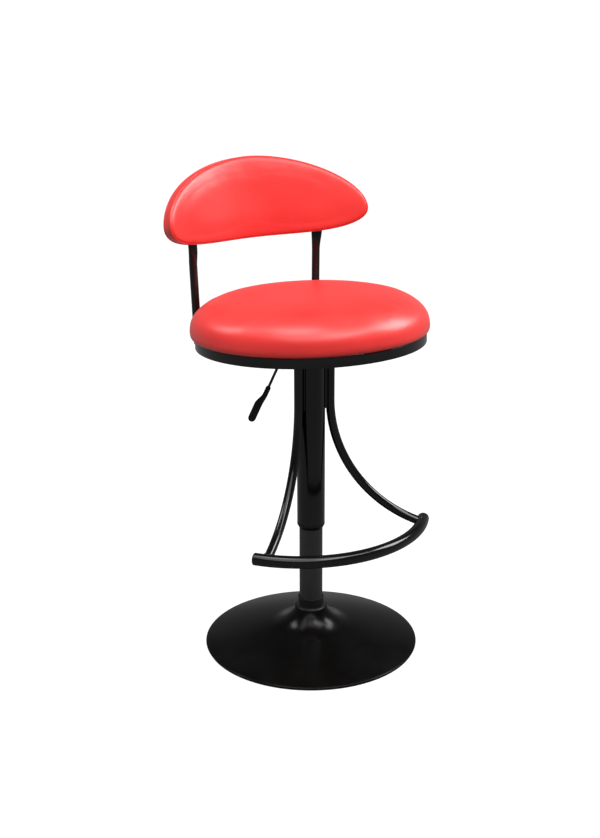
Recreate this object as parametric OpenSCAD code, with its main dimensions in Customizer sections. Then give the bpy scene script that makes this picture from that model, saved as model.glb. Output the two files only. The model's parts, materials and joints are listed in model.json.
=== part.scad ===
// Adjustable swivel stool with a trumpet base, a gas lift, a footrest and an upholstered back.
// Millimetres. The origin is on the floor, on the axis of the column.
// +Z is up, the sitter faces -Y, and +X is the sitter's left.

/* [Base] */
// Radius of the spun steel base
base_r = 198.5; // [170:0.5:240]
// Thickness of the base's sheet steel
base_sheet = 2; // [1.2:0.1:3]
// Radius of the rolled bead round the base's edge
bead_r = 2; // [1.5:0.1:3]
// Height of the rubber ring that the base stands on
floor_ring_h = 2; // [1:0.5:4]
// Width of the rubber ring
floor_ring_w = 11; // [6:0.5:20]
// Slope of the dome at its edge, in degrees
dome_edge_slope = 18; // [14:0.5:22]
// Slope where the dome meets the flared neck, in degrees
dome_neck_slope = 10; // [6:0.5:12]
// Radius at which the dome becomes the flared neck
flare_r = 78; // [70:1:95]
// Outer radius of the neck's mouth
neck_r = 30; // [28:0.5:34]
// Slope of the neck at its mouth, in degrees
neck_slope = 62; // [55:1:70]
// Radius of the steel ballast plate
weight_r = 150; // [100:1:165]
// Thickness of the ballast plate
weight_t = 8; // [4:0.5:10]
// Gap from the floor to the ballast plate
weight_lift = 4; // [2:0.5:5]

/* [Column] */
// Radius of the fixed lower column
column_r = 21.5; // [19:0.5:24]
// Wall of the lower column
column_wall = 2; // [1.5:0.1:3]
// Height of the lower column's top above the floor
column_top = 402; // [390:1:420]
// Wall of the socket that holds the column in the base
hub_wall = 4; // [2.5:0.5:5]
// Radius of the socket's flange
hub_flange_r = 58; // [45:1:62]
// Thickness of the socket's flange
hub_flange_t = 4; // [3:0.5:6]
// Wall of the collar round the foot of the column
collar_wall = 2.5; // [1.5:0.1:4]
// Height of the collar
collar_h = 22; // [15:1:30]
// Length of the plastic guide bush in the column's top
guide_len = 40; // [25:1:60]
// Radius of the gas cylinder
cylinder_r = 14; // [12:0.5:15]
// Wall of the gas cylinder
cylinder_wall = 2; // [1.5:0.1:2.5]
// Height of the gas cylinder's lower end
cylinder_bottom = 176; // [172:1:190]
// Length of the taper that the seat is pressed onto
taper_len = 38; // [30:1:45]
// How much the taper's radius shrinks over its length
taper_drop = 1; // [0.5:0.1:1.5]
// Radius of the piston rod
rod_r = 5; // [4:0.5:6]
// Length of the gland that seals the rod
gland_len = 15; // [10:1:20]
// Length of the piston
piston_len = 10; // [6:1:14]
// How far the seat rises from its drawn height
lift_up = 65; // [40:1:65]
// How far the seat sinks from its drawn height
lift_down = 135; // [80:1:135]
// Number of balls in the thrust bearing
ball_count = 10; // [8:1:12]
// Radius of each ball
ball_r = 2; // [1.5:0.1:2.2]

/* [Sleeve and footrest] */
// Outer radius of the sleeve that slides over the column
sleeve_r = 25.5; // [24.5:0.5:28]
// Wall of the sleeve
sleeve_wall = 1.5; // [1.2:0.1:2]
// Height of the sleeve's lower end
sleeve_bottom = 243.5; // [243:0.5:260]
// Depth of the bush lip that shows below the sleeve
lip_h = 11.5; // [6:0.5:12]
// Length of the bush inside the sleeve
bush_len = 35; // [20:1:50]
// Radius of the footrest bar's tube
bar_r = 11; // [9:0.5:12]
// Wall of the footrest bar's tube
bar_wall = 1.8; // [1.2:0.1:2.5]
// Height of the footrest bar's centre line
bar_z = 247.8; // [240:0.5:260]
// Radius of the curve that the bar is bent to
bar_bend_r = 227.5; // [190:0.5:260]
// How far the curve's centre lies behind the column
bar_centre_y = 36; // [10:1:50]
// Half of the angle that the bar covers, in degrees
bar_half_angle = 51; // [48:0.5:60]
// Angle along the bar at which the struts meet it, in degrees
strut_angle = 45.4; // [40:0.2:46]
// Radius of the strut's tube
strut_r = 8; // [6.5:0.5:9]
// Wall of the strut's tube
strut_wall = 1.5; // [1:0.1:2]
// Angle that each strut bends through, in degrees
strut_sweep = 74; // [64:1:80]
// How far the strut's end sits above the bar's centre line
strut_rise = 2.5; // [0:0.5:3]
// Distance from the column's axis to the strut's upper part, sideways
strut_x = 33; // [32:0.5:38]
// Distance from the column's axis to the strut's upper part, forwards
strut_y = 12; // [10:0.5:16]
// Height of the web plates between strut and sleeve
web_h = 111; // [60:1:130]
// Thickness of the web plates
web_t = 10; // [4:0.5:12]

/* [Seat] */
// Height of the seat ring's lower edge at the column
ring_z = 583.3; // [582:0.5:600]
// Backward tilt of the seat, in degrees
seat_tilt = 3.7; // [0:0.1:5]
// Outer radius of the seat ring
ring_r = 204.5; // [190:0.5:240]
// Thickness of the ring's steel band
ring_t = 3; // [2:0.5:5]
// Height of the ring's band
ring_h = 18; // [16:0.5:24]
// How far the cushion bulges past the ring
cushion_overhang = 7; // [3:0.5:10]
// Height of the cushion's widest line above the ring
bulge_h = 14.3; // [10:0.1:18]
// Height of the cushion's crown above its widest line
crown_h = 60.6; // [40:0.1:75]
// Squareness of the cushion's shoulder, outwards
shoulder_out = 3.7; // [2:0.1:5]
// Squareness of the cushion's shoulder, upwards
shoulder_up = 2.3; // [1.6:0.1:3]
// Thickness of the vinyl
vinyl_t = 1.2; // [0.8:0.1:2]
// Thickness of the plywood seat board
board_t = 12; // [9:0.5:15]
// Thickness of the flat bars across the ring
cross_t = 3; // [2.5:0.5:5]
// Width of the flat bars
cross_w = 25; // [20:1:35]
// Distance of the flat bars from the centre
cross_x = 60; // [55:1:80]
// Distance of the seat bolts from the centre, fore and aft
bolt_y = 60; // [45:1:70]
// Thickness of the mechanism plate
plate_t = 3; // [2.5:0.5:4]
// Half width of the mechanism plate
plate_half = 78; // [74:1:95]
// Radius of the seat bolts
bolt_r = 3; // [2.5:0.5:4]

/* [Lever] */
// Radius of the lever's rod
lever_r = 2.4; // [2:0.1:3]
// Height of the lever's rod under the seat
lever_z = 588; // [587:0.5:590]
// Distance of the lever's pivot from the column's axis
lever_pivot_x = 24; // [23:0.5:26]
// Distance of the rod's bend from the column's axis
lever_bend_x = 46; // [42:0.5:60]
// Radius of the rod's bend
lever_bend_r = 9; // [6:0.5:12]
// Slope of the rod past its bend, in degrees
lever_slope = 61; // [50:1:70]
// Length of bare rod past the bend
lever_reach = 82; // [60:1:100]
// Length of the handle
handle_len = 70; // [55:1:90]
// Width of the handle's blade
handle_w = 15.5; // [12:0.5:22]
// Width of the handle's neck
handle_neck = 9; // [7:0.5:11]
// Sideways step between the handle's neck and its blade
handle_step = 5; // [0:0.5:8]
// Thickness of the handle
handle_t = 6.5; // [6:0.5:9]
// How far the lever turns, in degrees
lever_turn = 9; // [5:0.5:9]

/* [Backrest] */
// Radius of the back posts' tube
post_r = 7.5; // [6:0.5:9]
// Wall of the back posts' tube
post_wall = 1.5; // [1:0.1:2]
// Distance of each post from the centre, at seat ring height
post_x = 126.7; // [115:0.1:140]
// Distance of each post behind the column, at seat ring height
post_y = 195.1; // [194:0.1:215]
// Outward lean of each post, in degrees
post_splay = 1.53; // [0:0.01:3]
// Backward lean of each post, in degrees
post_recline = 1.56; // [0:0.01:3]
// Height of the pad's lower edge in its middle
pad_z = 740.5; // [730:0.5:770]
// Distance of the pad's front face behind the column, in its middle
pad_y = 189.6; // [188:0.1:192]
// Backward lean of the pad, in degrees
pad_lean = 11.4; // [8:0.1:14]
// Radius that the pad's front face is curved to
pad_front_r = 321.5; // [280:0.5:400]
// Half width of the pad
pad_half_w = 204; // [190:0.5:215]
// Height of the pad along its slope
pad_h = 146.7; // [120:0.1:160]
// Height of the pad's widest points above its lower edge
pad_corner_h = 44.7; // [35:0.1:55]
// How much lower the pad's ends sit than its middle
pad_droop = 13; // [8:0.5:16]
// Squareness of the pad's upper outline
pad_top_power = 1.87; // [1.6:0.01:2.4]
// Squareness of the pad's lower outline
pad_low_power = 3.8; // [3:0.1:5]
// Thickness of the pad
pad_t = 30; // [26:0.5:36]
// Thickness of the curved plywood in the pad
back_board_t = 9; // [7:0.5:11]
// How far the plywood stays inside the pad's outline
back_board_inset = 5; // [3:0.5:9]
// Thickness of the posts' flattened ends
tab_t = 4; // [3:0.5:5]
// Width of the posts' flattened ends
tab_w = 22; // [18:0.5:24]
// Length of the posts' flattened ends
tab_len = 66; // [58:1:72]

/* [Hidden] */

$fn = 96;
run_gap = 0.05;      // running clearance on a radius, where one piece slides or turns in another
free_gap = 0.3;      // clearance between moving pieces that only pass each other
hole_gap = 0.3;      // clearance on the radius of a bolt hole

black = [0.05, 0.05, 0.055];
satin = [0.2, 0.2, 0.2];
steel = [0.7, 0.7, 0.72];
red = [0.86, 0.16, 0.15];
ply = [0.78, 0.62, 0.42];
foam = [0.93, 0.88, 0.7];
plastic = [0.12, 0.12, 0.12];

// Base: the dome and the neck's flare are two arcs that meet with one slope.
edge_r = base_r - bead_r;
bead_z = floor_ring_h + bead_r;
edge_z = bead_z + bead_r * cos(dome_edge_slope);
dome_r = (edge_r - flare_r) / (sin(dome_edge_slope) - sin(dome_neck_slope));
dome_c = [edge_r - dome_r * sin(dome_edge_slope), edge_z - dome_r * cos(dome_edge_slope)];
flare_z = dome_c[1] + dome_r * cos(dome_neck_slope);
flare_arc_r = (flare_r - neck_r) / (sin(neck_slope) - sin(dome_neck_slope));
flare_c = [flare_r + flare_arc_r * sin(dome_neck_slope), flare_z + flare_arc_r * cos(dome_neck_slope)];
neck_z = flare_c[1] - flare_arc_r * cos(neck_slope);
weight_top = weight_lift + weight_t;
hub_r = column_r + hub_wall;
hub_bolt_r = 4;
hub_bolt_circle = (hub_r + hub_flange_r) / 2 + 2;
hub_top = neck_z - 2;

// Lower column and the bearing in its foot
column_bottom = 6;
column_bore = column_r - column_wall;
floor_z = 16;
floor_t = 6;
race_in = rod_r + 1;
race_out = 15;
race_t = 2.5;
race_mid = (race_in + race_out) / 2;
groove_depth = 0.8;
race_lower_z = floor_z + floor_t;
ball_z = race_lower_z + race_t - groove_depth + ball_r;
race_upper_z = ball_z + ball_r - groove_depth + run_gap;
shoulder_z = race_upper_z + race_t;
shoulder_r = rod_r + 3;
shoulder_t = 3;
clip_t = 1.5;
clip_r = rod_r + 3.5;
clip_z = floor_z - free_gap - clip_t;
clip_groove_r = rod_r - 1;
rod_end = clip_z - 2;
guide_flange_t = 3;

// Gas cylinder
bore_r = cylinder_r - cylinder_wall;
gland_top = cylinder_bottom + gland_len;
piston_z = gland_top + lift_up + 1;
rod_top = piston_z + piston_len;
pin_r = 3;
cap_t = 6;

// Seat supports, from the sleeve up to the ring
strut_top = ring_z - 11.3;
top_plate_t = 4;
top_plate_x = 44;
top_plate_y = 52;
bracket_z = strut_top + top_plate_t;
sheet_t = 3;
cheek_x = 34;
cheek_half = 58;
socket_r = 20;
cylinder_top = bracket_z + sheet_t + 2;
taper_z = cylinder_top - taper_len;
socket_bottom = taper_z + 1;
valve_z = taper_z - 18;
lever_toe = 4;     // how far the rod reaches past the column's axis
lever_swell = 0.1; // extra radius of the rod's inner end
press_gap = 0.9;   // idle gap between the rod and the release pin
pin_top = lever_z - lever_r - lever_swell - press_gap;
pin_bottom = valve_z + 8;
sleeve_bore = sleeve_r - sleeve_wall;
bush_bore = column_r + run_gap;
lug_t = 2.5;
boss_half = 7;
boss_r = 4.5;
lever_pin_r = 2;

// Heights in the tilted seat frame, whose zero is the ring's lower edge
plate_top = ring_h - cross_t;
plate_low = plate_top - plate_t;
board_low = ring_h + vinyl_t;
board_top = board_low + board_t;
board_r = ring_r - 6.5;
ring_in = ring_r - ring_t;
cushion_r = ring_r + cushion_overhang;
tuck_r = ring_r - 4.5;
lap_r = board_r - 28;
cushion_back = 2.3;
bolt_head_h = 4.5;
bolt_head_r = 5.8;
tee_r = 4.2;
tee_flange_r = 9;
tee_flange_t = 1.4;
tee_len = 9;

// Footrest: the strut bends in the upright plane that joins its top to its foot on the bar.
foot_x = bar_bend_r * sin(strut_angle);
foot_y = bar_centre_y - bar_bend_r * cos(strut_angle);
strut_run = norm([foot_x - strut_x, foot_y + strut_y]);
strut_heading = atan2(foot_x - strut_x, -(foot_y + strut_y));
strut_bend_r = strut_run / (1 - cos(strut_sweep));
strut_bend_z = bar_z + strut_rise + strut_bend_r * sin(strut_sweep);
web_heading = atan2(strut_x, strut_y);
lever_bend_t = lever_bend_r * tan(lever_slope / 2);
cap_len = 3;
cap_plug = 12;

// Posts: their own frame stands at ring height, with +X pointing away from the column.
post_heading = atan2(post_y, post_x);
post_reach = norm([post_x, post_y]) - ring_r;
post_low = -28;
post_plug = 6;
bracket_low = -24;
bracket_high = -1;
bracket_w = 22;
bracket_t = 3;
post_bolt_z = [-18, -7];
post_bolt_r = 3;
nut_t = 4;
nut_r = 5.5;

// Backrest pad: its own frame stands at the middle of the lower front edge.
pad_back_r = pad_front_r + pad_t;
tab_angle = asin((post_x + (pad_z - ring_z) * tan(post_splay)) / (pad_back_r + tab_t / 2));
tab_low = -8;
pinch_low = -24;
pinch_top = -4;
post_round_top = pad_z - ring_z;
post_bore_top = post_round_top - 20;
screw_w = [20, 46];
screw_r = 2.5;
screw_head_r = 5;
screw_head_h = 2.6;
back_tee_r = 3.6;
back_tee_flange_r = 7;

// Points of an arc about c, from angle a0 to a1
function arc(c, r, a0, a1, n) =
    [for (i = [0:n]) c + r * [cos(a0 + (a1 - a0) * i / n), sin(a0 + (a1 - a0) * i / n)]];

// Corner points of a rectangle with rounded corners
function round_rect(lo, hi, r, n = 6) = concat(
    arc([hi[0] - r, lo[1] + r], r, -90, 0, n),
    arc([hi[0] - r, hi[1] - r], r, 0, 90, n),
    arc([lo[0] + r, hi[1] - r], r, 90, 180, n),
    arc([lo[0] + r, lo[1] + r], r, 180, 270, n));

// Upper face of the base from its edge to the neck, moved inwards by t
function base_line(t) = concat(
    arc(dome_c, dome_r - t, 90 - dome_edge_slope, 90 - dome_neck_slope, 10),
    arc(flare_c, flare_arc_r + t, 270 - dome_neck_slope, 270 - neck_slope, 14));

// Outline of the cushion from under its bulge to the crown, moved inwards by t
function bulge_line(t) =
    [for (i = [0:10]) [tuck_r + (cushion_r - t - tuck_r) * sin(9 * i),
                       ring_h + bulge_h - (bulge_h - t) * cos(9 * i)]];
function crown_line(t) =
    [for (i = [1:24]) [(cushion_r - t) * pow(max(cos(3.75 * i), 0), 2 / shoulder_out),
                       ring_h + bulge_h + (crown_h - t) * pow(sin(3.75 * i), 2 / shoulder_up)]];
function cushion_line(t) = concat(bulge_line(t), crown_line(t));

// Upper and lower edges of the backrest at x, moved inwards by t
function pad_share(x, t) = min(abs(x) / (pad_half_w - t), 1);
function pad_sink(x) = pad_droop * pow(x / pad_half_w, 2);
function pad_upper(x, t) = pad_corner_h - pad_sink(x)
    + (pad_h - pad_corner_h - t) * sqrt(1 - pow(pad_share(x, t), pad_top_power));
function pad_lower(x, t) = pad_corner_h - pad_sink(x)
    - (pad_corner_h - t) * sqrt(1 - pow(pad_share(x, t), pad_low_power));
function pad_outline(t, n = 30) = concat(
    [for (i = [0:n]) let (x = (pad_half_w - t) * sin(-90 + 180 * i / n)) [x, pad_lower(x, t)]],
    [for (i = [1:n - 1]) let (x = (pad_half_w - t) * sin(90 - 180 * i / n)) [x, pad_upper(x, t)]]);

module tube(r_out, r_in, h) {
    difference() {
        cylinder(r = r_out, h = h);
        translate([0, 0, -1]) cylinder(r = r_in, h = h + 2);
    }
}

module on_side(side) {
    if (side > 0) children();
    else mirror([1, 0, 0]) children();
}

module both_sides() {
    for (side = [1, -1]) on_side(side) children();
}

module seat_frame() {
    translate([0, 0, ring_z]) rotate([-seat_tilt, 0, 0]) children();
}

module post_frame() {
    translate([post_x, post_y, ring_z]) rotate([-post_recline, post_splay, 0])
        rotate([0, 0, post_heading]) children();
}

module pad_frame() {
    translate([0, pad_y, pad_z]) rotate([-pad_lean, 0, 0]) children();
}

// Frame on the pad's back face behind a post: +Y points out of the pad
module tab_frame() {
    pad_frame() translate([0, -pad_front_r, 0]) rotate([0, 0, -tab_angle])
        translate([0, pad_back_r, 0]) children();
}

module seat_bolt_places() {
    for (x = [-cross_x, cross_x], y = [-bolt_y, bolt_y]) translate([x, y, 0]) children();
}

module hub_bolt_places() {
    for (i = [0:3]) rotate([0, 0, 45 + 90 * i]) translate([hub_bolt_circle, 0, 0]) children();
}

// ---- Base ----

module floor_ring() {
    color(plastic) tube(edge_r, edge_r - floor_ring_w, floor_ring_h);
}

module base_shell() {
    outer = base_line(0);
    inner = base_line(base_sheet);
    last = len(inner) - 1;
    color(black) rotate_extrude($fn = 180) union() {
        polygon(concat(outer, [for (i = [last:-1:0]) inner[i]]));
        translate([edge_r, bead_z]) circle(r = bead_r, $fn = 32);
    }
}

module base_weight() {
    color(steel) translate([0, 0, weight_lift]) difference() {
        tube(weight_r, column_r + 1, weight_t);
        hub_bolt_places() translate([0, 0, -1]) cylinder(r = hub_bolt_r + hole_gap, h = weight_t + 2);
        hub_bolt_places() translate([0, 0, -1]) cylinder(r = 2 * hub_bolt_r, h = weight_t / 2 + 1);
    }
}

module hub_socket() {
    color(steel) difference() {
        union() {
            translate([0, 0, weight_top]) cylinder(r = hub_flange_r, h = hub_flange_t);
            translate([0, 0, weight_top]) cylinder(r = hub_r, h = hub_top - weight_top);
        }
        cylinder(r = column_r, h = hub_top + 1);
        hub_bolt_places() cylinder(r = hub_bolt_r, h = hub_top);
    }
}

module hub_bolts() {
    color(steel) hub_bolt_places() {
        translate([0, 0, weight_lift + 0.5]) cylinder(r = 1.8 * hub_bolt_r, h = weight_t / 2 - 0.5, $fn = 6);
        translate([0, 0, weight_lift + 0.5]) cylinder(r = hub_bolt_r, h = weight_t + hub_flange_t + 2.5);
    }
}

module column_collar() {
    collar_r = column_r + collar_wall;
    skirt = 6;
    color(plastic) translate([0, 0, neck_z]) rotate_extrude() polygon(concat(
        [[column_r, 0], [neck_r - 0.5, 0]],
        [for (i = [0:6]) [collar_r + (neck_r - 0.5 - collar_r) * (1 - sin(15 * i)),
                          1 + skirt * (1 - cos(15 * i))]],
        arc([collar_r - 1, collar_h - 1], 1, 0, 90, 4),
        [[column_r, collar_h]]));
}

module lower_column() {
    color(satin) translate([0, 0, column_bottom])
        tube(column_r, column_bore, column_top - column_bottom);
}

module column_floor() {
    color(steel) translate([0, 0, floor_z]) tube(column_bore, rod_r + run_gap, floor_t);
}

module race(z, groove_z) {
    color(steel) translate([0, 0, z]) difference() {
        tube(race_out, race_in, race_t);
        translate([0, 0, groove_z - z]) rotate_extrude() translate([race_mid, 0])
            circle(r = ball_r + run_gap, $fn = 32);
    }
}

module race_lower() {
    race(race_lower_z, ball_z);
}

module race_upper() {
    race(race_upper_z, ball_z);
}

module bearing_balls() {
    color(steel) for (i = [0:ball_count - 1]) rotate([0, 0, 360 * i / ball_count])
        translate([race_mid, 0, ball_z]) sphere(r = ball_r, $fn = 32);
}

module guide_bush() {
    color(plastic) difference() {
        union() {
            translate([0, 0, column_top - guide_len]) cylinder(r = column_bore, h = guide_len);
            translate([0, 0, column_top]) cylinder(r = column_r, h = guide_flange_t);
        }
        translate([0, 0, column_top - guide_len - 1])
            cylinder(r = cylinder_r + run_gap, h = guide_len + guide_flange_t + 2);
    }
}

// ---- Rod that the seat turns with ----

module piston_rod() {
    color(steel) difference() {
        union() {
            translate([0, 0, rod_end]) cylinder(r = rod_r, h = rod_top - rod_end);
            translate([0, 0, shoulder_z]) cylinder(r = shoulder_r, h = shoulder_t);
        }
        translate([0, 0, clip_z]) tube(rod_r + 1, clip_groove_r, clip_t);
    }
}

module piston() {
    color(plastic) translate([0, 0, piston_z]) tube(bore_r - run_gap, rod_r, piston_len);
}

module rod_clip() {
    color(steel) translate([0, 0, clip_z]) tube(clip_r, clip_groove_r, clip_t);
}

// ---- Gas cylinder and its valve ----

module taper(extra) {
    translate([0, 0, taper_z]) cylinder(r1 = cylinder_r + extra, r2 = cylinder_r - taper_drop + extra,
                                        h = taper_len);
}

module gas_cylinder() {
    color(satin) difference() {
        union() {
            translate([0, 0, cylinder_bottom]) cylinder(r = cylinder_r, h = taper_z - cylinder_bottom);
            taper(0);
        }
        translate([0, 0, cylinder_bottom - 1])
            cylinder(r = bore_r, h = cylinder_top - cap_t - cylinder_bottom + 1);
        translate([0, 0, cylinder_bottom]) cylinder(r = pin_r + run_gap, h = cylinder_top);
    }
}

module rod_gland() {
    color(plastic) translate([0, 0, cylinder_bottom]) tube(bore_r, rod_r + run_gap, gland_len);
}

module valve_block() {
    color(steel) translate([0, 0, valve_z]) difference() {
        cylinder(r = bore_r, h = cylinder_top - cap_t - valve_z);
        translate([0, 0, 2]) cylinder(r = pin_r + run_gap, h = cylinder_top);
    }
}

module release_pin() {
    color(steel) translate([0, 0, pin_bottom]) cylinder(r = pin_r, h = pin_top - pin_bottom);
}

module taper_socket() {
    color(satin) difference() {
        translate([0, 0, socket_bottom]) cylinder(r = socket_r, h = cylinder_top - socket_bottom);
        taper(0);
    }
}

// ---- Sleeve, struts and footrest ----

module sleeve() {
    color(black) translate([0, 0, sleeve_bottom])
        tube(sleeve_r, sleeve_bore, strut_top - sleeve_bottom);
}

module sleeve_bush() {
    color(plastic) translate([0, 0, sleeve_bottom]) rotate_extrude() polygon(concat(
        [[bush_bore, -lip_h], [bush_bore + 1, -lip_h]],
        arc([sleeve_r - 2.5, -lip_h + 6], 2.5, -45, 0, 4),
        [[sleeve_r, 0], [sleeve_bore, 0], [sleeve_bore, bush_len], [bush_bore, bush_len]]));
}

// Path of a strut's tube with radius r: straight down, then outwards to the bar
module strut_path(r) {
    translate([strut_x, -strut_y, 0]) rotate([0, 0, strut_heading - 90]) {
        translate([0, 0, strut_bend_z]) cylinder(r = r, h = strut_top - strut_bend_z);
        translate([strut_bend_r, 0, strut_bend_z]) rotate([90, 0, 0])
            rotate_extrude(start = 180, angle = strut_sweep) translate([strut_bend_r, 0]) circle(r = r);
    }
}

module bar_path(r) {
    translate([0, bar_centre_y, bar_z])
        rotate_extrude(start = 270 - bar_half_angle, angle = 2 * bar_half_angle)
            translate([bar_bend_r, 0]) circle(r = r);
}

module strut(side) {
    color(black) on_side(side) difference() {
        strut_path(strut_r);
        strut_path(strut_r - strut_wall);
        bar_path(bar_r);
    }
}

module strut_left() {
    strut(1);
}

module strut_right() {
    strut(-1);
}

module web(side) {
    color(black) on_side(side) difference() {
        translate([0, 0, strut_top - web_h]) rotate([0, 0, web_heading - 90])
            translate([0, -web_t / 2, 0]) cube([norm([strut_x, strut_y]), web_t, web_h]);
        cylinder(r = sleeve_r, h = ring_z);
        translate([strut_x, -strut_y, 0]) cylinder(r = strut_r, h = ring_z);
    }
}

module web_left() {
    web(1);
}

module web_right() {
    web(-1);
}

module footrest_bar() {
    color(black) difference() {
        bar_path(bar_r);
        bar_path(bar_r - bar_wall);
    }
}

module footrest_caps() {
    color(plastic) both_sides() translate([0, bar_centre_y, bar_z])
        rotate([0, 0, -90 + bar_half_angle]) translate([bar_bend_r, 0, 0]) rotate([-90, 0, 0]) {
            cylinder(r = bar_r, h = cap_len);
            translate([0, 0, -cap_plug]) cylinder(r = bar_r - bar_wall - 0.6, h = cap_plug);
        }
}

// ---- Seat supports ----

module top_plate() {
    color(black) translate([0, 0, strut_top]) difference() {
        linear_extrude(top_plate_t)
            polygon(round_rect([-top_plate_x, -top_plate_y], [top_plate_x, top_plate_y], 10));
        translate([0, 0, -1]) cylinder(r = socket_r, h = top_plate_t + 2);
    }
}

// A folded channel whose cheeks are cut to the seat's tilt
module tilt_bracket() {
    seat_under = ring_z + plate_low / cos(seat_tilt);
    slot = lever_r + 2;
    color(black) difference() {
        union() {
            translate([-cheek_x, -cheek_half, bracket_z]) cube([2 * cheek_x, 2 * cheek_half, sheet_t]);
            both_sides() translate([cheek_x + sheet_t, 0, 0]) rotate([0, -90, 0]) linear_extrude(sheet_t)
                polygon([[bracket_z, -cheek_half], [bracket_z, cheek_half],
                         [seat_under - cheek_half * tan(seat_tilt), cheek_half],
                         [seat_under + cheek_half * tan(seat_tilt), -cheek_half]]);
            for (y = [boss_half + 1, -boss_half - 1 - lug_t])
                translate([-lever_pivot_x - 4, y, bracket_z]) cube([8, lug_t, lever_z + 4 - bracket_z]);
        }
        translate([0, 0, bracket_z - 1]) cylinder(r = socket_r, h = sheet_t + 2);
        translate([-cheek_x - sheet_t - 1, -slot, bracket_z + sheet_t]) cube([sheet_t + 2, 2 * slot, 40]);
        translate([-lever_pivot_x, boss_half + 5, lever_z]) rotate([90, 0, 0])
            cylinder(r = lever_pin_r, h = 2 * boss_half + 10);
    }
}

module seat_plate() {
    color(black) seat_frame() difference() {
        translate([0, 0, plate_low]) linear_extrude(plate_t)
            polygon(round_rect([-plate_half, -plate_half], [plate_half, plate_half], 12));
        seat_bolt_places() cylinder(r = bolt_r + hole_gap, h = ring_h);
        translate([0, 0, plate_low - 1]) cylinder(r = 8, h = plate_t + 2);
    }
}

module cross_bar(side) {
    color(black) on_side(side) seat_frame() difference() {
        intersection() {
            translate([cross_x - cross_w / 2, -ring_r, plate_top]) cube([cross_w, 2 * ring_r, cross_t]);
            cylinder(r = ring_in, h = ring_h);
        }
        seat_bolt_places() cylinder(r = bolt_r + hole_gap, h = ring_h + 1);
    }
}

module cross_bar_left() {
    cross_bar(1);
}

module cross_bar_right() {
    cross_bar(-1);
}

module seat_ring() {
    color(black) seat_frame() rotate_extrude($fn = 180)
        polygon(round_rect([ring_in, 0], [ring_r, ring_h], 1.2, 4));
}

module seat_bolts() {
    color(steel) seat_frame() seat_bolt_places() {
        translate([0, 0, plate_low - bolt_head_h]) cylinder(r = bolt_head_r, h = bolt_head_h, $fn = 6);
        translate([0, 0, plate_low - 1]) cylinder(r = bolt_r, h = board_top - 2 - plate_low);
    }
}

// Sleeve nut with a flange, sunk flush in the upper face of a board
module tee_nut(r, flange_r, length) {
    translate([0, 0, -length]) cylinder(r = r, h = length);
    translate([0, 0, -tee_flange_t]) cylinder(r = flange_r, h = tee_flange_t);
}

module seat_tee_nuts() {
    color(steel) seat_frame() seat_bolt_places() difference() {
        translate([0, 0, board_top]) tee_nut(tee_r, tee_flange_r, tee_len);
        cylinder(r = bolt_r, h = board_top + 1);
    }
}

// ---- Seat cushion ----

module cushion_place() {
    seat_frame() translate([0, cushion_back, 0]) children();
}

module seat_board() {
    color(ply) difference() {
        cushion_place() translate([0, 0, board_low]) cylinder(r = board_r, h = board_t);
        seat_frame() seat_bolt_places() {
            cylinder(r = bolt_r + hole_gap, h = board_top + 1);
            translate([0, 0, board_top]) tee_nut(tee_r, tee_flange_r, tee_len);
        }
    }
}

module seat_foam() {
    color(foam) cushion_place() rotate_extrude($fn = 180)
        polygon(concat([[0, board_top], [board_r, board_top], [board_r, board_low]], cushion_line(vinyl_t)));
}

module seat_cover() {
    outer = cushion_line(0);
    inner = cushion_line(vinyl_t);
    last = len(inner) - 1;
    color(red) cushion_place() rotate_extrude($fn = 180)
        polygon(concat([[lap_r, ring_h]], outer, [for (i = [last:-1:0]) inner[i]], [[lap_r, board_low]]));
}

// ---- Lever ----

module lever_pin() {
    half = boss_half + lug_t + 2;
    color(steel) translate([-lever_pivot_x, half, lever_z]) rotate([90, 0, 0])
        cylinder(r = lever_pin_r, h = 2 * half);
}

// Frame at the rod's bend: +X runs down the rod, +Y points up and outwards
module lever_frame() {
    translate([-lever_bend_x, 0, lever_z]) rotate([90, 0, 0]) mirror([1, 0, 0])
        rotate([0, 0, -lever_slope]) children();
}

// Thicker end that presses the valve, then the bend
module lever_root() {
    translate([lever_toe, 0, lever_z]) rotate([0, -90, 0])
        cylinder(r = lever_r + lever_swell, h = lever_toe + lever_bend_x - lever_bend_t + lever_swell);
    lever_frame() translate([lever_bend_t, -lever_bend_r, 0])
        rotate_extrude(start = 90, angle = lever_slope) translate([lever_bend_r, 0]) circle(r = lever_r);
}

module lever_shank() {
    lever_frame() translate([lever_bend_t, 0, 0]) rotate([0, 90, 0])
        cylinder(r = lever_r, h = lever_reach + handle_grip - lever_bend_t);
}

module lever_rod() {
    color(black) difference() {
        union() {
            lever_root();
            lever_shank();
            translate([-lever_pivot_x, boss_half, lever_z]) rotate([90, 0, 0])
                cylinder(r = boss_r, h = 2 * boss_half);
        }
        translate([-lever_pivot_x, boss_half + 1, lever_z]) rotate([90, 0, 0])
            cylinder(r = lever_pin_r + run_gap, h = 2 * boss_half + 2);
    }
}

// Share of the handle's step and width reached at distance s along it
function handle_ease(s) = let (q = min(max((s - 0.25) / 0.35, 0), 1)) q * q * (3 - 2 * q);
function handle_half(s) = (handle_neck + (handle_w - handle_neck) * handle_ease(s)) / 2;
handle_round = handle_w / 2;
handle_grip = 0.35 * handle_len;
handle_sides = [for (i = [0:16]) i / 16];

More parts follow.
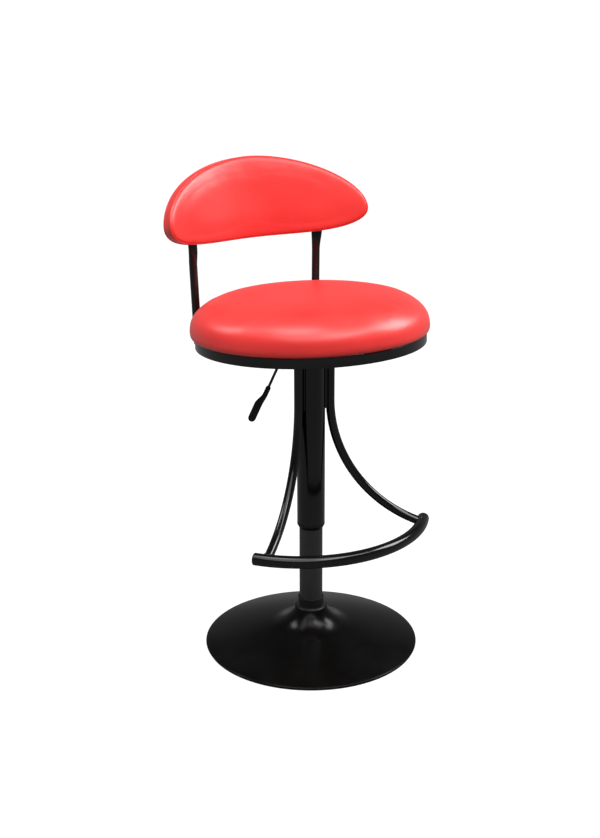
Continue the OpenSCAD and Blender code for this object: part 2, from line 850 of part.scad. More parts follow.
module lever_handle() {
    straight = handle_len - handle_round;
    color(plastic) difference() {
        lever_frame() translate([lever_reach, 0, -handle_t / 2]) linear_extrude(handle_t)
            polygon(concat(
                [for (s = handle_sides) [s * straight, handle_step * handle_ease(s) + handle_half(s)]],
                [for (i = [1:11]) [straight, handle_step]
                                  + handle_round * [sin(15 * i), cos(15 * i)]],
                [for (s = handle_sides) [(1 - s) * straight,
                                         handle_step * handle_ease(1 - s) - handle_half(1 - s)]]));
        lever_shank();
    }
}

// ---- Back posts ----

// Round tube whose top is pinched between two slanting faces
module post_solid() {
    intersection() {
        post_frame() translate([0, 0, post_low]) cylinder(r = post_r, h = post_round_top - post_low);
        tab_frame() rotate([90, 0, 90]) translate([0, 0, -3 * post_r]) linear_extrude(6 * post_r)
            polygon([[-post_reach, -pad_z], [post_reach + tab_w, -pad_z], [post_reach + tab_w, pinch_low],
                     [2 * post_r + 2, pinch_low], [tab_t, pinch_top], [0, pinch_top],
                     [-1, pinch_low], [-post_reach, pinch_low]]);
    }
}

module bolt_hole(r) {
    for (z = post_bolt_z) translate([-post_reach, 0, z]) rotate([0, 90, 0])
        cylinder(r = r, h = post_reach + 2 * post_r);
}

module post(side) {
    color(black) on_side(side) difference() {
        union() {
            post_solid();
            tab_frame() translate([-tab_w / 2, 0, tab_low]) cube([tab_w, tab_t, tab_len - tab_w / 2]);
            tab_frame() translate([0, 0, tab_low + tab_len - tab_w / 2]) rotate([-90, 0, 0])
                cylinder(r = tab_w / 2, h = tab_t);
        }
        post_frame() translate([0, 0, post_low - 1])
            cylinder(r = post_r - post_wall, h = post_bore_top - post_low);
        post_frame() bolt_hole(post_bolt_r);
        for (w = screw_w) tab_frame() translate([0, -1, w]) rotate([-90, 0, 0])
            cylinder(r = screw_r + hole_gap, h = tab_t + 2);
    }
}

module post_left() {
    post(1);
}

module post_right() {
    post(-1);
}

module post_caps() {
    color(plastic) both_sides() post_frame() {
        translate([0, 0, post_low - 2]) cylinder(r = post_r, h = 2);
        translate([0, 0, post_low]) cylinder(r = post_r - post_wall, h = post_plug);
    }
}

// Channel welded to the ring, which the post is bolted against
module post_bracket(side) {
    color(black) on_side(side) difference() {
        post_frame() difference() {
            translate([-post_reach - 12, -bracket_w / 2, bracket_low])
                cube([post_reach + 12 - post_r / 2, bracket_w, bracket_high - bracket_low]);
            translate([-post_reach - 13, -bracket_w / 2 + bracket_t, bracket_low - 1])
                cube([post_reach + 13 - post_r - bracket_t, bracket_w - 2 * bracket_t,
                      bracket_high - bracket_low + 2]);
            bolt_hole(post_bolt_r + hole_gap);
        }
        post_solid();
        seat_frame() translate([0, 0, -40]) cylinder(r = ring_r, h = 80);
    }
}

module post_bracket_left() {
    post_bracket(1);
}

module post_bracket_right() {
    post_bracket(-1);
}

module post_bolts() {
    inner = -post_r - bracket_t - nut_t - 1;
    color(steel) both_sides() post_frame() for (z = post_bolt_z) {
        translate([inner, 0, z]) rotate([0, 90, 0]) cylinder(r = post_bolt_r, h = post_r + 1 - inner);
        difference() {
            translate([post_r - 1.5, 0, z]) rotate([0, 90, 0]) cylinder(r = 5, h = 4.5);
            translate([0, 0, post_low]) cylinder(r = post_r, h = 60);
        }
    }
}

module post_nuts() {
    color(steel) both_sides() post_frame() for (z = post_bolt_z) difference() {
        translate([-post_r - bracket_t - nut_t, 0, z]) rotate([0, 90, 0])
            cylinder(r = nut_r, h = nut_t, $fn = 6);
        translate([-post_reach, 0, z]) rotate([0, 90, 0]) cylinder(r = post_bolt_r, h = post_reach);
    }
}

// ---- Backrest pad ----

// Curved slab between two radii, with the pad's outline moved inwards by t
module pad_slab(r_in, r_out, t) {
    intersection() {
        translate([0, -pad_front_r, -60]) tube(r_out, r_in, 260);
        rotate([90, 0, 0]) translate([0, 0, -pad_t - 10]) linear_extrude(pad_t + 110)
            polygon(pad_outline(t));
    }
}

module pad_core() {
    pad_slab(pad_front_r + vinyl_t, pad_back_r - vinyl_t, vinyl_t);
}

module back_board_slab() {
    pad_slab(pad_back_r - vinyl_t - back_board_t, pad_back_r - vinyl_t, back_board_inset);
}

// Bores of radius r through the pad's back, one for each screw
module back_bores(r, depth) {
    both_sides() for (w = screw_w) tab_frame() translate([0, -depth, w]) rotate([-90, 0, 0])
        cylinder(r = r, h = depth + tab_t + screw_head_h + 1);
}

module back_tee_shapes() {
    both_sides() for (w = screw_w) tab_frame() translate([0, -vinyl_t - back_board_t, w]) rotate([90, 0, 0])
        tee_nut(back_tee_r, back_tee_flange_r, back_board_t - 1);
}

module back_board() {
    color(ply) difference() {
        pad_frame() back_board_slab();
        back_bores(screw_r + hole_gap, vinyl_t + back_board_t);
        back_tee_shapes();
    }
}

module back_foam() {
    color(foam) difference() {
        pad_frame() pad_core();
        pad_frame() back_board_slab();
        back_tee_shapes();
    }
}

module back_cover() {
    color(red) difference() {
        pad_frame() pad_slab(pad_front_r, pad_back_r, 0);
        pad_frame() pad_core();
        back_bores(screw_r + hole_gap, vinyl_t + 1);
    }
}

module back_screws() {
    reach = vinyl_t + back_board_t - 1;
    color(steel) both_sides() for (w = screw_w) tab_frame() {
        translate([0, -reach, w]) rotate([-90, 0, 0]) cylinder(r = screw_r, h = reach + tab_t);
        translate([0, tab_t, w]) rotate([-90, 0, 0]) cylinder(r = screw_head_r, h = screw_head_h);
    }
}

module back_tee_nuts() {
    color(steel) difference() {
        back_tee_shapes();
        back_bores(screw_r, vinyl_t + back_board_t + 2);
    }
}

floor_ring();
base_shell();
base_weight();
hub_socket();
hub_bolts();
column_collar();
lower_column();
column_floor();
race_lower();
bearing_balls();
guide_bush();
piston_rod();
piston();
race_upper();
rod_clip();
gas_cylinder();
rod_gland();
valve_block();
taper_socket();
sleeve();
sleeve_bush();
top_plate();
tilt_bracket();
seat_plate();
cross_bar_left();
cross_bar_right();
seat_ring();
seat_bolts();
seat_tee_nuts();
seat_board();
seat_foam();
seat_cover();
strut_left();
strut_right();
web_left();
web_right();
footrest_bar();
footrest_caps();
post_bracket_left();
post_bracket_right();
post_left();
post_right();
post_caps();
post_bolts();
post_nuts();
back_screws();
back_tee_nuts();
back_board();
back_foam();
back_cover();
lever_pin();
lever_rod();
lever_handle();
release_pin();
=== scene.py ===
"""Adjustable swivel stool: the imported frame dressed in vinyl, paint, steel, plywood and plastic.

Metres. The origin is on the floor, on the column's axis; +Z is up and the sitter faces -Y.
"""

from __future__ import annotations

import json
import logging
import math
from dataclasses import dataclass
from enum import Enum
from typing import Callable, Sequence

import bpy
from mathutils import Matrix, Vector
from mathutils.kdtree import KDTree

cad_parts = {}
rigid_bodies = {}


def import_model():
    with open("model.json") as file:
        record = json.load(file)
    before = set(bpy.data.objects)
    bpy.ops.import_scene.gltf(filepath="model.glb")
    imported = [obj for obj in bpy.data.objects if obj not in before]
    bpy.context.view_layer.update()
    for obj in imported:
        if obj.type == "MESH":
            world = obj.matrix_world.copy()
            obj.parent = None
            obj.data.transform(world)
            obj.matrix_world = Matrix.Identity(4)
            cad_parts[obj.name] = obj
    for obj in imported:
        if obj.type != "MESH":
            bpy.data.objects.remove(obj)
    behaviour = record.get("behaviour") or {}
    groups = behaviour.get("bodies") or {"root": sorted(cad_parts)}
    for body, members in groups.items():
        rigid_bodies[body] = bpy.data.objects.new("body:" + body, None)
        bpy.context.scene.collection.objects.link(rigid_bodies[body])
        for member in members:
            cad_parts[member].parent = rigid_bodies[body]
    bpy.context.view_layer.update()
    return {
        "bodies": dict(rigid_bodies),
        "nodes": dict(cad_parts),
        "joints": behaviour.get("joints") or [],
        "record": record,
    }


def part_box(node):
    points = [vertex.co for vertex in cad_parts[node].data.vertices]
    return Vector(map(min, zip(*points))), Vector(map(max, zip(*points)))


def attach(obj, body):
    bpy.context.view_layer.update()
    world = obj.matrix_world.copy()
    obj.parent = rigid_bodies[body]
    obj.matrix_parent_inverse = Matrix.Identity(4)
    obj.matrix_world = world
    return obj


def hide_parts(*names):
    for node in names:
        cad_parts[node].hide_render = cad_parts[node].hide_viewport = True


LOG = logging.getLogger("stool")
MM = 0.001
# Distance under which two vertices are one
WELD_GAP = 0.002 * MM
Colour = tuple[float, float, float]
Point2 = tuple[float, float]


class Body(Enum):
    """Bodies of the frame that new pieces ride on."""

    BASE = "base"
    UPPER = "upper"
    LEVER = "lever"


class Slot(Enum):
    """Material slots of the record, passed to dress with each new piece but not read there."""

    GLOSS_BLACK = "gloss_black"
    STEEL = "steel"
    BLACK_PLASTIC = "black_plastic"
    RED_VINYL = "red_vinyl"


# ---- Finishes ----


def set_stops(ramp: bpy.types.Node, stops: Sequence[tuple[float, Colour]]) -> None:
    """Gives a colour ramp its stops.

    Args:
        ramp: The ramp's node.
        stops: Position and colour of each stop.
    """
    line = ramp.color_ramp.elements
    while len(line) < len(stops):
        line.new(0.5)
    for element, (position, colour) in zip(line, stops):
        element.position = position
        element.color = (*colour, 1.0)


class Recipe:
    """One node material that is put together step by step."""

    def __init__(self, name: str) -> None:
        """Starts a material.

        Args:
            name: The material's name.
        """
        self.material = bpy.data.materials.new(name)
        self.material.use_nodes = True
        self.tree = self.material.node_tree
        self.shader = self.tree.nodes["Principled BSDF"]
        self.place = self.node("ShaderNodeTexCoord").outputs["Object"]

    def node(self, kind: str, **settings: object) -> bpy.types.Node:
        """Adds a node.

        Args:
            kind: The node's type.
            **settings: Attributes of the node.

        Returns:
            The new node.
        """
        made = self.tree.nodes.new(kind)
        for key, value in settings.items():
            setattr(made, key, value)
        return made

    def link(self, source: bpy.types.NodeSocket, target: bpy.types.NodeSocket) -> None:
        """Joins two sockets."""
        self.tree.links.new(source, target)

    def mapped(self, stretch: Sequence[float], turn: Sequence[float] = (0, 0, 0)) -> bpy.types.NodeSocket:
        """Object coordinates, turned and stretched.

        Args:
            stretch: Factor on each axis.
            turn: Turn about each axis, in degrees.

        Returns:
            The changed coordinates.
        """
        made = self.node("ShaderNodeMapping")
        made.inputs["Rotation"].default_value = [math.radians(a) for a in turn]
        made.inputs["Scale"].default_value = stretch
        self.link(self.place, made.inputs["Vector"])
        return made.outputs["Vector"]

    def noise(self, scale: float, detail: float = 2.0, stretch: Sequence[float] = (1, 1, 1),
              turn: Sequence[float] = (0, 0, 0), distortion: float = 0.0) -> bpy.types.NodeSocket:
        """Fractal noise, per metre.

        Args:
            scale: Cells in a metre.
            detail: Number of finer layers.
            stretch: Factor on each axis.
            turn: Turn of the pattern, in degrees.
            distortion: How far the noise bends itself.

        Returns:
            The noise's value.
        """
        made = self.node("ShaderNodeTexNoise")
        made.inputs["Scale"].default_value = scale
        made.inputs["Detail"].default_value = detail
        made.inputs["Distortion"].default_value = distortion
        self.link(self.mapped(stretch, turn), made.inputs["Vector"])
        return made.outputs["Fac"]

    def cells(self, scale: float) -> bpy.types.NodeSocket:
        """Distance to the nearest of many scattered points.

        Args:
            scale: Cells in a metre.

        Returns:
            The distance.
        """
        made = self.node("ShaderNodeTexVoronoi")
        made.inputs["Scale"].default_value = scale
        self.link(self.mapped((1, 1, 1)), made.inputs["Vector"])
        return made.outputs["Distance"]

    def spread(self, value: bpy.types.NodeSocket, low: float, high: float,
               start: float = 0.3, end: float = 0.7) -> bpy.types.NodeSocket:
        """Moves a value's range.

        Args:
            value: The value to change.
            low: Result at start.
            high: Result at end.
            start: Value that gives low.
            end: Value that gives high.

        Returns:
            The changed value.
        """
        made = self.node("ShaderNodeMapRange")
        for name, number in (("From Min", start), ("From Max", end), ("To Min", low), ("To Max", high)):
            made.inputs[name].default_value = number
        self.link(value, made.inputs["Value"])
        return made.outputs["Result"]

    def ramp(self, value: bpy.types.NodeSocket,
             stops: Sequence[tuple[float, Colour]]) -> bpy.types.NodeSocket:
        """Colours along a value.

        Args:
            value: The value to look up.
            stops: Position and colour of each stop.

        Returns:
            The colour.
        """
        made = self.node("ShaderNodeValToRGB")
        set_stops(made, stops)
        self.link(value, made.inputs["Fac"])
        return made.outputs["Color"]

    def both(self, first: bpy.types.NodeSocket, second: bpy.types.NodeSocket,
             kind: str = "ADD") -> bpy.types.NodeSocket:
        """Two values joined by one sum.

        Args:
            first: One value.
            second: The other value.
            kind: Operation of the math node.

        Returns:
            The result.
        """
        made = self.node("ShaderNodeMath", operation=kind)
        self.link(first, made.inputs[0])
        self.link(second, made.inputs[1])
        return made.outputs["Value"]

    def relief(self, height: bpy.types.NodeSocket, depth: float, strength: float = 1.0,
               under: bpy.types.NodeSocket | None = None) -> bpy.types.NodeSocket:
        """A bump layer.

        Args:
            height: Height, from 0 to 1.
            depth: Depth of the relief in metres.
            strength: Share of the relief that shows.
            under: A bump layer that this one lies on.

        Returns:
            The bent normal.
        """
        made = self.node("ShaderNodeBump")
        made.inputs["Distance"].default_value = depth
        made.inputs["Strength"].default_value = strength
        self.link(height, made.inputs["Height"])
        if under is not None:
            self.link(under, made.inputs["Normal"])
        return made.outputs["Normal"]

    def fix(self, **values: float) -> None:
        """Sets constants on the shader; an underscore in a name stands for a space."""
        for key, value in values.items():
            self.shader.inputs[key.replace("_", " ")].default_value = value

    def drive(self, **sources: bpy.types.NodeSocket) -> None:
        """Joins sockets to the shader; an underscore in a name stands for a space."""
        for key, source in sources.items():
            self.link(source, self.shader.inputs[key.replace("_", " ")])


@dataclass(frozen=True)
class Vinyl:
    """Coated upholstery cloth with a fine pebble grain."""

    name: str = "red vinyl"
    shade: Colour = (0.730, 0.024, 0.021)
    bright: Colour = (0.840, 0.036, 0.032)
    pebbles: float = 620.0
    depth: float = 0.09 * MM

    def make(self) -> bpy.types.Material:
        """Mixes the finish.

        Returns:
            The material.
        """
        mix = Recipe(self.name)
        cloud = mix.noise(9.0, 3.0)
        grain = mix.cells(self.pebbles)
        crease = mix.noise(1400.0, 3.0)
        mix.drive(Base_Color=mix.ramp(cloud, ((0.3, self.shade), (0.7, self.bright))),
                  Roughness=mix.spread(mix.both(cloud, grain), 0.30, 0.42, 0.4, 1.2),
                  Normal=mix.relief(crease, 0.03 * MM, 0.35,
                                    mix.relief(grain, self.depth, 0.35)))
        mix.fix(Specular_IOR_Level=0.5, Coat_Weight=0.12, Coat_Roughness=0.28, Sheen_Weight=0.03)
        return mix.material


@dataclass(frozen=True)
class Paint:
    """Stoved enamel with a soft orange peel and a little handling haze."""

    name: str = "gloss black enamel"
    shade: Colour = (0.0026, 0.0024, 0.0023)
    bright: Colour = (0.0048, 0.0045, 0.0044)
    rough_low: float = 0.10
    rough_high: float = 0.19
    peel: float = 0.03 * MM
    coat: float = 0.10
    shine: float = 0.36

    def make(self) -> bpy.types.Material:
        """Mixes the finish.

        Returns:
            The material.
        """
        mix = Recipe(self.name)
        haze = mix.noise(14.0, 4.0)
        peel = mix.noise(260.0, 2.0)
        speck = mix.noise(1900.0, 1.0)
        mix.drive(Base_Color=mix.ramp(haze, ((0.35, self.shade), (0.75, self.bright))),
                  Roughness=mix.spread(haze, self.rough_low, self.rough_high, 0.35, 0.75),
                  Normal=mix.relief(speck, 0.01 * MM, 0.3, mix.relief(peel, self.peel, 0.4)))
        mix.fix(Specular_IOR_Level=self.shine, Coat_Weight=self.coat, Coat_Roughness=0.08)
        return mix.material


@dataclass(frozen=True)
class DrawnTube:
    """Dark satin tube with fine rub marks along its length."""

    name: str = "satin grey tube"
    shade: Colour = (0.028, 0.028, 0.029)
    bright: Colour = (0.050, 0.050, 0.051)

    def make(self) -> bpy.types.Material:
        """Mixes the finish.

        Returns:
            The material.
        """
        mix = Recipe(self.name)
        streak = mix.noise(900.0, 3.0, (1.0, 1.0, 0.015))
        cloud = mix.noise(22.0, 3.0, (1.0, 1.0, 0.3))
        mix.drive(Base_Color=mix.ramp(mix.both(streak, cloud, "MULTIPLY"),
                                      ((0.12, self.shade), (0.42, self.bright))),
                  Roughness=mix.spread(streak, 0.30, 0.46),
                  Normal=mix.relief(streak, 0.02 * MM, 0.4))
        mix.fix(Metallic=0.25, Specular_IOR_Level=0.3, Anisotropic=0.3)
        return mix.material


@dataclass(frozen=True)
class PlatedSteel:
    """Zinc-plated steel with a mottled bloom and hairlines."""

    name: str = "plated steel"
    shade: Colour = (0.36, 0.365, 0.37)
    bright: Colour = (0.62, 0.62, 0.61)

    def make(self) -> bpy.types.Material:
        """Mixes the finish.

        Returns:
            The material.
        """
        mix = Recipe(self.name)
        bloom = mix.noise(160.0, 4.0)
        hair = mix.noise(1500.0, 2.0, (1.0, 0.05, 1.0), (0, 0, 25))
        mix.drive(Base_Color=mix.ramp(bloom, ((0.35, self.shade), (0.65, self.bright))),
                  Roughness=mix.spread(mix.both(bloom, hair), 0.24, 0.46, 0.7, 1.3),
                  Normal=mix.relief(hair, 0.015 * MM, 0.4))
        mix.fix(Metallic=0.95)
        return mix.material


@dataclass(frozen=True)
class CastIron:
    """Rough grey casting with pits and a trace of rust."""

    name: str = "cast ballast"
    iron: Colour = (0.045, 0.044, 0.043)
    rust: Colour = (0.085, 0.050, 0.032)

    def make(self) -> bpy.types.Material:
        """Mixes the finish.

        Returns:
            The material.
        """
        mix = Recipe(self.name)
        patch = mix.noise(30.0, 5.0)
        pits = mix.noise(420.0, 4.0)
        mix.drive(Base_Color=mix.ramp(patch, ((0.5, self.iron), (0.78, self.rust))),
                  Roughness=mix.spread(pits, 0.62, 0.88),
                  Normal=mix.relief(pits, 0.4 * MM, 0.7))
        mix.fix(Metallic=0.3)
        return mix.material


@dataclass(frozen=True)
class Plastic:
    """Moulded black plastic or rubber with a spark-eroded grain."""

    name: str = "black plastic"
    shade: Colour = (0.005, 0.005, 0.0055)
    bright: Colour = (0.009, 0.009, 0.0095)
    rough_low: float = 0.36
    rough_high: float = 0.52
    grain: float = 1300.0
    depth: float = 0.04 * MM

    def make(self) -> bpy.types.Material:
        """Mixes the finish.

        Returns:
            The material.
        """
        mix = Recipe(self.name)
        stipple = mix.noise(self.grain, 2.0)
        dust = mix.noise(35.0, 4.0)
        mix.drive(Base_Color=mix.ramp(dust, ((0.4, self.shade), (0.8, self.bright))),
                  Roughness=mix.spread(mix.both(stipple, dust), self.rough_low, self.rough_high, 0.7, 1.3),
                  Normal=mix.relief(stipple, self.depth, 0.6))
        mix.fix(Specular_IOR_Level=0.25)
        return mix.material


@dataclass(frozen=True)
class Plywood:
    """Birch plywood: long grain on its faces and plies on its edges."""

    name: str = "birch plywood"
    turn: tuple[float, float, float] = (3.7, 0.0, 0.0)
    pale: Colour = (0.62, 0.43, 0.24)
    dark: Colour = (0.42, 0.26, 0.13)

    def make(self) -> bpy.types.Material:
        """Mixes the finish.

        Returns:
            The material.
        """
        mix = Recipe(self.name)
        grain = mix.noise(60.0, 5.0, (0.08, 1.0, 1.0), self.turn, 0.6)
        fibre = mix.noise(700.0, 3.0, (0.05, 1.0, 1.0), self.turn)
        ply = mix.node("ShaderNodeTexWave", bands_direction="Z")
        ply.inputs["Scale"].default_value = 105.0
        ply.inputs["Distortion"].default_value = 0.4
        mix.link(mix.mapped((1, 1, 1), self.turn), ply.inputs["Vector"])
        layers = mix.spread(ply.outputs["Fac"], 0.0, 0.35)
        mix.drive(Base_Color=mix.ramp(mix.both(grain, layers), ((0.4, self.pale), (0.95, self.dark))),
                  Roughness=mix.spread(fibre, 0.52, 0.72),
                  Normal=mix.relief(fibre, 0.08 * MM, 0.5))
        mix.fix(Specular_IOR_Level=0.35)
        return mix.material


@dataclass(frozen=True)
class Foam:
    """Open-cell foam, whose pores are painted darker as painted shade in the pits."""

    name: str = "seat foam"
    pale: Colour = (0.74, 0.66, 0.42)
    pit_shade: Colour = (0.52, 0.44, 0.24)

    def make(self) -> bpy.types.Material:
        """Mixes the finish.

        Returns:
            The material.
        """
        mix = Recipe(self.name)
        bubbles = mix.cells(900.0)
        # The pores' low centres take the darker colour: painted shade in the pits, not a darker foam.
        mix.drive(Base_Color=mix.ramp(bubbles, ((0.1, self.pit_shade), (0.6, self.pale))),
                  Roughness=mix.spread(bubbles, 0.80, 0.95),
                  Normal=mix.relief(bubbles, 0.5 * MM, 0.8))
        return mix.material


@dataclass(frozen=True)
class Studio:
    """Pale floor and dome, soft light and the camera; neither lights the stool or shows in it."""

    floor_size: float = 240.0
    camera_at: tuple[float, float, float] = (-1.2361, -2.0572, 1.2487)
    heading: float = 31.0
    pitch: float = 18.61
    lens: float = 60.426
    sensor: float = 36.0
    shift: float = -0.0131
    sky_stops: tuple[tuple[float, float], ...] = ((-1.0, 0.22), (-0.25, 0.28), (-0.03, 0.32), (0.06, 0.20),
                                                  (0.36, 0.16), (0.55, 0.06), (1.0, 0.05))
    floor_glow: float = 0.9
    dome_glow: float = 1.0
    dome_share: float = 0.45
    sun_power: float = 2.2
    sun_spread: float = 60.0
    # Name, place, aim, width and height, and watts of each soft box
    lamps: tuple[tuple[str, Colour, Colour, Point2, float], ...] = (
        ("front_strip", (0.45, -1.25, 2.30), (0.0, 0.1, 0.75), (1.6, 0.5), 18.0),
        ("right_box", (1.55, -0.45, 1.75), (0.05, 0.0, 0.66), (0.9, 0.9), 31.0),
        ("left_box", (-1.15, 1.15, 2.0), (-0.1, 0.0, 0.65), (0.6, 0.7), 12.0),
        ("top_box", (-0.45, 0.05, 2.3), (-0.1, 0.15, 0.8), (0.9, 0.5), 9.0))

    def pale(self, name: str, glow: float) -> bpy.types.Material:
        """Pale matt finish with a barely visible mottle.

        Args:
            name: The material's name.
            glow: Strength of its own light.

        Returns:
            The material.
        """
        mix = Recipe(name)
        mottle = mix.noise(1.3, 3.0)
        mix.drive(Base_Color=mix.ramp(mottle, ((0.3, (0.180, 0.180, 0.180)),
                                               (0.7, (0.215, 0.215, 0.215)))),
                  Roughness=mix.spread(mottle, 0.85, 0.95))
        mix.fix(Specular_IOR_Level=0.1, Emission_Strength=glow)
        mix.shader.inputs["Emission Color"].default_value = (1.0, 1.0, 1.0, 1.0)
        return mix.material

    def sky(self, tree: bpy.types.NodeTree) -> None:
        """Sets the light from all round: grey from below, weaker above the horizon, dark overhead.

        Args:
            tree: The world's node tree.
        """
        place = tree.nodes.new("ShaderNodeTexCoord")
        split = tree.nodes.new("ShaderNodeSeparateXYZ")
        share = tree.nodes.new("ShaderNodeMapRange")
        share.inputs["From Min"].default_value = -1.0
        ramp = tree.nodes.new("ShaderNodeValToRGB")
        set_stops(ramp, [((height + 1.0) / 2.0, (grey, grey, grey)) for height, grey in self.sky_stops])
        tree.links.new(place.outputs["Generated"], split.inputs["Vector"])
        tree.links.new(split.outputs["Z"], share.inputs["Value"])
        tree.links.new(share.outputs["Result"], ramp.inputs["Fac"])
        tree.links.new(ramp.outputs["Color"], tree.nodes["Background"].inputs["Color"])
        tree.nodes["Background"].inputs["Strength"].default_value = 1.0

    def area(self, name: str, place: Sequence[float], aim: Sequence[float], size: tuple[float, float],
             power: float) -> None:
        """Adds a soft box.

        Args:
            name: The lamp's name.
            place: Where it stands.
            aim: The point that it faces.
            size: Its width and height.
            power: Its power in watts.
        """
        bpy.ops.object.light_add(type="AREA", location=place)
        lamp = bpy.context.object
        lamp.name = name
        lamp.data.shape = "RECTANGLE"
        lamp.data.size, lamp.data.size_y = size
        lamp.data.energy = power
        lamp.rotation_euler = (Vector(aim) - Vector(place)).to_track_quat("-Z", "Y").to_euler()

    def build(self) -> None:
        """Makes the floor, the lamps and the camera."""
        bpy.ops.mesh.primitive_plane_add(size=self.floor_size)
        floor = bpy.context.object
        floor.name = "studio_floor"
        floor.data.materials.append(self.pale("pale floor", self.floor_glow))
        bpy.ops.mesh.primitive_uv_sphere_add(segments=48, ring_count=24,
                                             radius=self.floor_size * self.dome_share)
        dome = bpy.context.object
        dome.name = "studio_dome"
        dome.data.materials.append(self.pale("pale dome", self.dome_glow))
        dome.visible_shadow = False
        for stage in (floor, dome):
            stage.visible_diffuse = False
            stage.visible_glossy = False
        scene = bpy.context.scene
        scene.view_settings.view_transform = "Standard"
        world = scene.world or bpy.data.worlds.new("studio")
        scene.world = world
        world.use_nodes = True
        self.sky(world.node_tree)
        bpy.ops.object.light_add(type="SUN", rotation=(math.radians(20), math.radians(-14), 0))
        sun = bpy.context.object
        sun.name = "overhead_silk"
        sun.data.energy = self.sun_power
        sun.data.angle = math.radians(self.sun_spread)
        for lamp in self.lamps:
            self.area(*lamp)
        bpy.ops.object.camera_add(location=self.camera_at)
        camera = bpy.context.object
        camera.name = "camera"
        turn, dip = math.radians(self.heading), math.radians(self.pitch)
        gaze = Vector((math.sin(turn) * math.cos(dip), math.cos(turn) * math.cos(dip), -math.sin(dip)))
        camera.rotation_euler = gaze.to_track_quat("-Z", "Y").to_euler()
        camera.data.sensor_width = self.sensor
        camera.data.lens = self.lens
        camera.data.shift_x = self.shift
        scene.camera = camera
        LOG.info("studio ready")


# ---- Modelling tools ----


def pick(*pieces: bpy.types.Object) -> None:
    """Leaves edit mode and selects nothing but the given pieces.

    Args:
        *pieces: The pieces, of which the first becomes the active one.
    """
    if bpy.context.object and bpy.context.object.mode != "OBJECT":
        bpy.ops.object.mode_set(mode="OBJECT")
    bpy.ops.object.select_all(action="DESELECT")
    for piece in pieces:
        piece.select_set(True)
    if pieces:
        bpy.context.view_layer.objects.active = pieces[0]


def joined(pieces: Sequence[bpy.types.Object], name: str) -> bpy.types.Object:
    """Joins pieces into one.

    Args:
        pieces: The pieces.
        name: Name of the whole.

    Returns:
        The whole.
    """
    pick(*pieces)
    bpy.ops.object.join()
    pieces[0].name = name
    return pieces[0]


def tree_of(points: Sequence[Vector]) -> KDTree:
    """Puts points into a search tree.

    Args:
        points: The points.

    Returns:
        The tree, which gives each point's place in the list.
    """
    tree = KDTree(len(points))
    for index, point in enumerate(points):
        tree.insert(point, index)
    tree.balance()
    return tree


def mirrored(points: Sequence[Vector], side: int) -> list[Vector]:
    """Points on one side of the stool: 1 leaves them on the sitter's left, -1 puts them on the right."""
    return [Vector((p.x * side, p.y, p.z)) for p in points]


def select_where(piece: bpy.types.Object, test: Callable[[bpy.types.MeshVertex], bool]) -> None:
    """Selects a piece's vertices by their place.

    Args:
        piece: The piece, in object mode.
        test: True for each vertex to select.
    """
    for vertex in piece.data.vertices:
        vertex.select = test(vertex)
    for edge in piece.data.edges:
        edge.select = all(piece.data.vertices[i].select for i in edge.vertices)
    for face in piece.data.polygons:
        face.select = False


def edit(piece: bpy.types.Object) -> None:
    """Opens a piece in edit mode with vertices selectable.

    Args:
        piece: The piece.
    """
    pick(piece)
    bpy.ops.object.mode_set(mode="EDIT")
    bpy.ops.mesh.select_mode(type="VERT")


def tidy_mesh(piece: bpy.types.Object) -> None:
    """Merges doubles and turns all faces outwards.

    Args:
        piece: The piece to tidy.
    """
    edit(piece)
    bpy.ops.mesh.select_all(action="SELECT")
    bpy.ops.mesh.remove_doubles(threshold=WELD_GAP)
    bpy.ops.mesh.normals_make_consistent(inside=False)
    bpy.ops.object.mode_set(mode="OBJECT")


def spun(name: str, profile: Sequence[Point2], steps: int = 144,
         frame: Matrix = Matrix.Identity(4)) -> bpy.types.Object:
    """A closed outline spun about the Z axis.

    Args:
        name: The piece's name.
        profile: Radius and height of each point of the closed outline.
        steps: Number of segments round the axis.
        frame: Place of the finished piece.

    Returns:
        The piece.
    """
    pick()
    bpy.ops.mesh.primitive_circle_add(vertices=len(profile), radius=0.05, fill_type="NOTHING")
    piece = bpy.context.object
    piece.name = name
    for vertex, (radius, height) in zip(piece.data.vertices, profile):
        vertex.co = (radius, 0.0, height)
    edit(piece)
    bpy.ops.mesh.select_all(action="SELECT")
    bpy.ops.mesh.spin(steps=steps, angle=2 * math.pi, center=(0, 0, 0), axis=(0, 0, 1))
    tidy_mesh(piece)
    piece.data.transform(frame)
    smooth_faces(piece)
    return piece


def skinned(name: str, rows: Sequence[Sequence[Vector]], looped: bool = False) -> bpy.types.Object:
    """A grid bent into a tube through closed rows of points.

    Args:
        name: The piece's name.
        rows: Closed rings of points, all of one length.
        looped: True if the last ring joins the first.

    Returns:
        The piece, open at its ends unless looped.
    """
    pick()
    rings = list(rows) + ([rows[0]] if looped else [])
    along, across = len(rings) - 1, len(rings[0])
    bpy.ops.mesh.primitive_grid_add(x_subdivisions=across, y_subdivisions=along, size=2)
    piece = bpy.context.object
    piece.name = name
    for vertex in piece.data.vertices:
        column = round((vertex.co.x + 1) / 2 * across) % across
        vertex.co = rings[round((vertex.co.y + 1) / 2 * along)][column]
    tidy_mesh(piece)
    return piece


def close_ends(piece: bpy.types.Object) -> None:
    """Fills the open ends of a skinned piece with flat faces.

    Args:
        piece: The piece.
    """
    edit(piece)
    bpy.ops.mesh.select_all(action="DESELECT")
    bpy.ops.mesh.select_non_manifold(extend=False, use_wire=False, use_boundary=True,
                                     use_multi_face=False, use_non_contiguous=False, use_verts=False)
    bpy.ops.mesh.edge_face_add()
    bpy.ops.mesh.select_all(action="SELECT")
    bpy.ops.mesh.normals_make_consistent(inside=False)
    bpy.ops.object.mode_set(mode="OBJECT")


